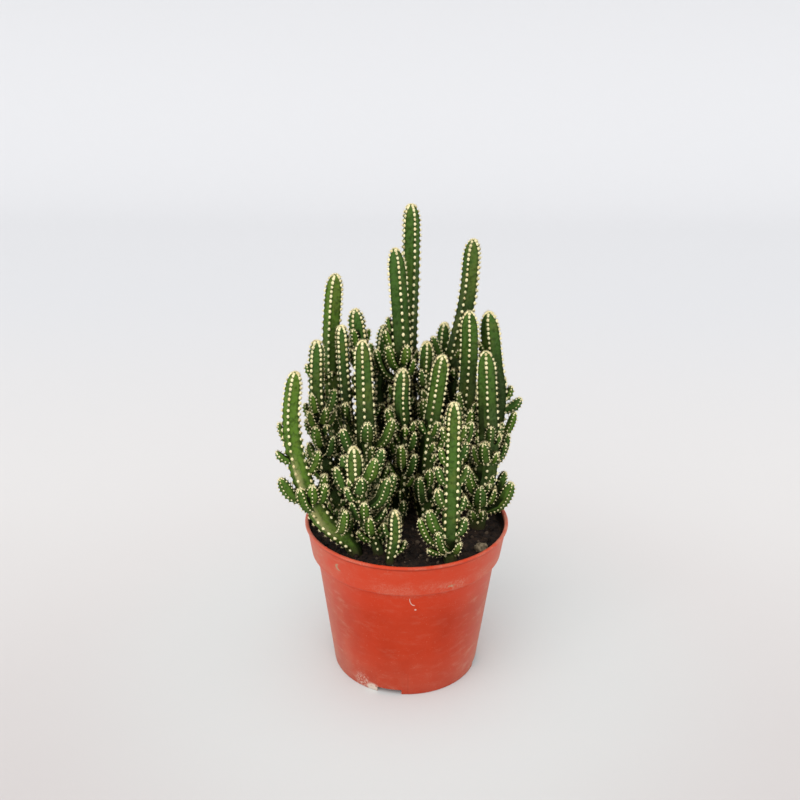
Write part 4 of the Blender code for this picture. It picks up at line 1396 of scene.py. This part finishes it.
def skin_material():
    """Matt green skin: fresh near the tips, darker low down, corky on one rib, with painted light on the
    stems that stand in the light, painted shade between the cushions on the crests and painted shade where
    little light reaches.
    """
    nodes = Nodes("cactus_skin", 0.6)
    young, crest, tint = (nodes.attribute(name) for name in ("young", "crest", "tint"))
    patches = nodes.noise(9 * MM, 3)
    age = nodes.maths("ADD", young, nodes.maths("MULTIPLY_ADD", patches, 0.6, -0.3))
    nodes.colour = nodes.mix(nodes.between(age, 0.0, 0.8), OLD_SKIN, FRESH_SKIN)
    bright = nodes.between(tint, 0.4, 1.0, 0.0, 0.7)
    nodes.lay(BRIGHT_SKIN, bright, nodes.between(age, 0.0, 0.6, 0.4, 1.0))
    nodes.lay(OLIVE_SKIN, nodes.between(nodes.noise(15 * MM, 3), 0.48, 0.66, 0.0, 0.5))
    bloom = nodes.times(nodes.between(patches, 0.45, 0.75), nodes.between(age, 0.5, 0.0))
    nodes.lay(PALE_SKIN, bloom, 0.5)
    mottle = nodes.noise(2.4 * MM, 4, 0.65)
    nodes.lay(DARK_SKIN_AND_CREST_SHADE, nodes.between(mottle, 0.56, 0.34, 0.0, 0.6))
    speckles = nodes.noise(1.1 * MM, 5, 0.7)
    nodes.lay(PALE_SKIN, nodes.between(speckles, 0.48, 0.68, 0.0, 0.5))
    # Painted shade in the notches between the cushions on the crests
    nodes.lay(DARK_SKIN_AND_CREST_SHADE, crest, 0.85)
    flakes = nodes.between(nodes.noise(2 * MM, 4, 0.6), 0.3, 0.5)
    nodes.lay(CORK, nodes.attribute("cork"), flakes)
    foot = nodes.maths("MULTIPLY_ADD", patches, 12 * MM, nodes.axes()[2])
    nodes.lay(BROWN_SKIN, nodes.between(foot, 101 * MM, 93 * MM), 0.8)
    # Painted shade where little light reaches the skin
    nodes.lay(SHADED_SKIN, nodes.between(nodes.attribute("light"), 0.86, 0.28, 0.0, 0.96))
    nodes.bump(nodes.maths("ADD", nodes.noise(0.5 * MM, 4, 0.6), mottle), 0.15 * MM, 0.6)
    return nodes.finish(0.08, nodes.between(patches, 0.3, 0.7, 0.52, 0.68))


def wool_material():
    """Cream wool with golden spines, browner where it is old, with painted shade where little light
    reaches.
    """
    nodes = Nodes("wool", 0.9)
    nodes.colour = nodes.mix(nodes.between(nodes.attribute("shade"), 0.6, 1.1), WOOL, OLD_WOOL)
    fibres = nodes.noise(0.35 * MM, 3)
    nodes.lay(OLD_WOOL, nodes.between(fibres, 0.5, 0.8, 0.0, 0.4))
    nodes.lay(SPINE, nodes.between(nodes.attribute("tip"), 0.2, 0.9))
    # Painted shade where little light reaches the wool
    nodes.lay(SHADED_WOOL, nodes.between(nodes.attribute("light"), 0.75, 0.28, 0.0, 0.96))
    nodes.bump(fibres, 0.1 * MM, 0.6)
    return nodes.finish(0.1)


def distance_from(nodes, arc, height, place, stretch=(1.0, 1.0)):
    """How far a point of the pot's outside is from a place on it, in metres, with a stretch each way."""
    across = nodes.times(nodes.maths("SUBTRACT", arc, place[0] * MM), 1 / stretch[0])
    up = nodes.times(nodes.maths("SUBTRACT", height, place[1] * MM), 1 / stretch[1])
    return nodes.maths("SQRT", nodes.maths("ADD", nodes.times(across, across), nodes.times(up, up)))


def pot_marks(nodes, arc, height):
    """Lays the scuffs and scratches over the pot's colour."""
    broken = nodes.noise(1.3 * MM, 4, 0.65)
    coarse = nodes.noise(2.6 * MM, 4)

    def disc(place, radius, soft=0.25, wide=1.0):
        distance = distance_from(nodes, arc, height, place, (wide, 1.0))
        return nodes.between(distance, (radius - soft) * MM, (radius + soft) * MM, 1.0, 0.0)

    gap = disc(CRESCENT_GAP, CRESCENT_RADIUS, 0.3)
    crescent = disc(CRESCENT, CRESCENT_RADIUS, 0.3)
    nodes.lay(SCUFF_BROWN, nodes.times(crescent, nodes.maths("SUBTRACT", 1.0, gap)), 0.8)
    distance = distance_from(nodes, arc, height, SCRATCH, (1.0, SCRATCH_STRETCH))
    scratch = nodes.near(distance, SCRATCH_RADIUS * MM, 0.02 * MM, 0.28 * MM)
    for value, edge in zip((arc, height), SCRATCH):
        end = nodes.between(value, (edge - 0.4) * MM, (edge + 0.6) * MM, 1.0, 0.0)
        scratch = nodes.times(scratch, end)
    nodes.lay(PALE_DUST, nodes.maths("MAXIMUM", scratch, disc(NICK, NICK_RADIUS)), 0.85)
    for over, place, radius, soft, wide, patchiness, strength in RUBBED:
        patch = nodes.times(disc(place, radius, soft, wide), nodes.between(broken, *patchiness))
        nodes.lay(over, patch, strength)
    worn = nodes.times(disc(WORN_FOOT, 3.4, 1.2, 1.3), nodes.between(coarse, 0.32, 0.46))
    nodes.lay(PALE_DUST, worn, 0.95)


def pot_material():
    """Red plastic with dust, scuffs and a few scratches, paler at the sides from dust and painted sheen,
    with painted shadow lines under the lip and the band, a painted highlight in the dust at the lip, and a
    darkened inner wall.
    """
    nodes = Nodes("pot_plastic", 0.5)
    x, y, z = nodes.axes()
    turn = nodes.maths("ARCTAN2", x, nodes.times(y, -1.0))
    arc = nodes.times(turn, MARKS_RADIUS)
    clouds = nodes.noise(30 * MM, 4, 0.6)
    streaks = nodes.noise(3.5 * MM, 5, 0.65, (0.35, 0.35, 1.0))
    rubbed = nodes.noise(7 * MM, 5, 0.7)
    fine = nodes.noise(0.9 * MM, 4, 0.7)
    nodes.colour = nodes.mix(nodes.between(clouds, 0.35, 0.65), DEEP_RED, BRIGHT_RED)
    nodes.lay(BAND_RED, nodes.between(z, BAND_FOOT - 26 * MM, BAND_FOOT + 1 * MM, 0.0, 0.85))
    # Paler at the sides: dust, and painted sheen where the pot turns away from the front
    dust_and_sheen = dust_and_sheen_veil(nodes, turn, z, rubbed)
    nodes.lay(DUST_AND_SHEEN_RED, dust_and_sheen)
    film = nodes.times(nodes.between(dust_and_sheen, 0.02, 0.3, 0.25, 1.0), nodes.between(streaks, 0.5, 0.72))
    nodes.lay(DUST, film, 0.28)
    specks = nodes.times(nodes.between(fine, 0.6, 0.72), nodes.between(rubbed, 0.4, 0.6, 0.2, 1.0))
    nodes.lay(DUST, specks, 0.35)
    # Dust at the lip and above the band's foot; at the lip it is also a painted highlight
    for height, reach, strength in DUST_AND_HIGHLIGHT_LINES:
        patchy = nodes.times(nodes.near(z, height, 0.2 * reach, reach), nodes.between(clouds, 0.52, 0.4))
        patchy = nodes.times(patchy, nodes.between(fine, 0.42, 0.6, 0.3, 1.0))
        nodes.lay(DUST, patchy, strength)
    # Painted shadow lines under the lip and under the band
    for height in SHADOW_LINES:
        nodes.lay(SHADOW_AND_SEAM_RED, nodes.near(z, height, 0.2 * MM, 0.9 * MM), 0.5)
    pot_marks(nodes, arc, z)
    seam = nodes.times(nodes.near(arc, SEAM, 0.15 * MM, 0.5 * MM), nodes.between(z, *SEAM_HEIGHTS))
    nodes.lay(SHADOW_AND_SEAM_RED, seam, 0.2)
    # The inner wall and floor are made dark
    inner_darkening = nodes.between(nodes.noise(6 * MM, 5, 0.7), 0.25, 0.5, 0.7, 1.0)
    nodes.lay(SOIL_DARK, nodes.attribute("inside"), inner_darkening)
    relief = nodes.maths("ADD", nodes.times(fine, 0.4), nodes.times(streaks, 0.6))
    nodes.bump(relief, 0.25 * MM, 0.3)
    return nodes.finish(0.2, nodes.between(rubbed, 0.3, 0.7, 0.42, 0.62))


def dust_and_sheen_veil(nodes, turn, z, rubbed):
    """How pale the pot is from dust and painted sheen: more at its sides, where the sheen is painted as
    the pot turns away from the front, and a little more on the band and near the foot.
    """
    aside = nodes.off(turn, LEAST_DUST_AND_SHEEN)
    sideways = nodes.between(aside, 0.4, 1.45, 0.0, 0.42)
    sideways = nodes.times(sideways, nodes.between(aside, 1.6, 2.6, 1.0, 0.35))
    in_band = nodes.between(z, BAND_FOOT - 1 * MM, BAND_FOOT + 1 * MM)
    dust_and_sheen = nodes.maths("MULTIPLY_ADD", in_band, 0.05, sideways)
    dust_and_sheen = nodes.maths("ADD", dust_and_sheen, nodes.between(z, 36 * MM, 3 * MM, 0.0, 0.10))
    return nodes.times(dust_and_sheen, nodes.between(rubbed, 0.3, 0.7, 0.5, 1.4))


def soil_material():
    """Damp peat with paler fibres and grains."""
    nodes = Nodes("potting_soil", 0.95)
    coarse = nodes.noise(3 * MM, 5, 0.65)
    fine = nodes.noise(0.6 * MM, 5, 0.7)
    nodes.colour = nodes.mix(nodes.between(coarse, 0.35, 0.7), SOIL_DARK, SOIL_BROWN)
    nodes.lay(SOIL_PALE, nodes.between(fine, 0.62, 0.75, 0.0, 0.55))
    nodes.lay(SOIL_PALE, nodes.between(nodes.attribute("tint"), 0.65, 1.0, 0.0, 0.8))
    nodes.bump(fine, 0.6 * MM, 0.9)
    return nodes.finish(0.25)


def clod_material():
    nodes = Nodes("dry_clod", 0.92)
    coarse = nodes.noise(1.6 * MM, 5, 0.65)
    fine = nodes.noise(0.4 * MM, 4, 0.7)
    nodes.colour = nodes.mix(nodes.between(coarse, 0.35, 0.7), CLOD_DARK, CLOD_PALE)
    nodes.lay(SOIL_DARK, nodes.between(fine, 0.6, 0.8, 0.0, 0.6))
    nodes.bump(fine, 0.4 * MM, 0.8)
    return nodes.finish(0.25)


def floor_material():
    """Pale paper with painted light and shade: darker in front as painted shade, lighter and slightly
    cooler round the pot as painted light that lifts its shadow, and slightly cooler towards the back.
    """
    nodes = Nodes("floor_paper", 0.9)
    x, y, _ = nodes.axes()
    further = nodes.maths("MULTIPLY_ADD", nodes.noise(0.25, 3), 0.1, y)
    # Painted shade in front
    nodes.colour = nodes.mix(nodes.between(further, -0.3, 0.34), FLOOR_NEAR_PAINTED_SHADE, FLOOR_MIDDLE)
    nodes.lay(FLOOR_FAR, nodes.between(further, 0.1, 1.0))
    # Painted light round the pot, which lifts its shadow on the floor
    from_pot = distance_from(nodes, x, y, (0, 0))
    nodes.lay(FLOOR_PAINTED_LIGHT_BY_POT, nodes.between(from_pot, 0.05, 0.24, 1.0, 0.0))
    nodes.bump(nodes.noise(2 * MM, 3, 0.6), 0.15 * MM, 0.3)
    return nodes.finish(0.1)


# Floor, light and camera


def make_floor(material):
    """A pale floor that curves up into a backdrop."""
    surface = Surface()
    rows = [(FLOOR_FRONT, 0.0), (COVE_START, 0.0)]
    for step in range(1, COVE_STEPS + 1):
        turn = step / COVE_STEPS * math.pi / 2
        rows.append((COVE_START + COVE_RADIUS * math.sin(turn), COVE_RADIUS * (1 - math.cos(turn))))
    rows.append((COVE_START + COVE_RADIUS, BACKDROP_HEIGHT))
    points = np.array([(x, y, z) for y, z in rows for x in (-FLOOR_SIDE, FLOOR_SIDE)])
    triangles = []
    for low in range(0, 2 * len(rows) - 2, 2):
        triangles += [(low, low + 1, low + 3), (low, low + 3, low + 2)]
    surface.add(points, np.array(triangles))
    floor = surface.make("floor", material)


def make_light():
    """A white surround, and one large soft light from the upper left."""
    world = bpy.data.worlds.new("studio")
    world.use_nodes = True
    background = world.node_tree.nodes["Background"]
    background.inputs["Color"].default_value = (*SKY, 1)
    background.inputs["Strength"].default_value = SKY_STRENGTH
    bpy.context.scene.world = world
    light = bpy.data.lights.new("soft_key", "SUN")
    light.energy = SUN_STRENGTH
    light.angle = math.radians(SUN_SOFTNESS)
    sun = new_object("soft_key", light)
    sun.rotation_mode = "QUATERNION"
    sun.rotation_quaternion = Vector(SUN_FROM).to_track_quat("Z", "Y")


def make_camera():
    """A camera at the photograph's angle, from where it is, how far it looks down and how it is rolled."""
    pitch, roll = math.radians(CAMERA_PITCH), math.radians(CAMERA_ROLL)
    right = Vector((1, 0, 0))
    up = Vector((0, math.sin(pitch), math.cos(pitch)))
    back = Vector((0, -math.cos(pitch), math.sin(pitch)))
    across = right * math.cos(roll) - up * math.sin(roll)
    upward = right * math.sin(roll) + up * math.cos(roll)
    data = bpy.data.cameras.new("camera")
    data.lens = CAMERA_LENS
    data.sensor_width = SENSOR_WIDTH
    data.clip_start = NEAREST_SEEN
    camera = new_object("camera", data)
    camera.matrix_world = Matrix((
        (across.x, upward.x, back.x, CAMERA_PLACE[0]),
        (across.y, upward.y, back.y, CAMERA_PLACE[1]),
        (across.z, upward.z, back.z, CAMERA_PLACE[2]),
        (0, 0, 0, 1),
    ))
    bpy.context.scene.camera = camera
    bpy.context.scene.view_settings.view_transform = "Standard"


def main():
    materials = {
        "skin": skin_material(),
        "wool": wool_material(),
        "pot": pot_material(),
        "soil": soil_material(),
        "clod": clod_material(),
    }
    make_camera()
    make_light()
    make_floor(floor_material())
    make_pot(materials)
    make_nub(materials)
    make_soil(materials)
    make_crumbs(materials)
    make_stone(materials)
    dress_stems(materials)


main()
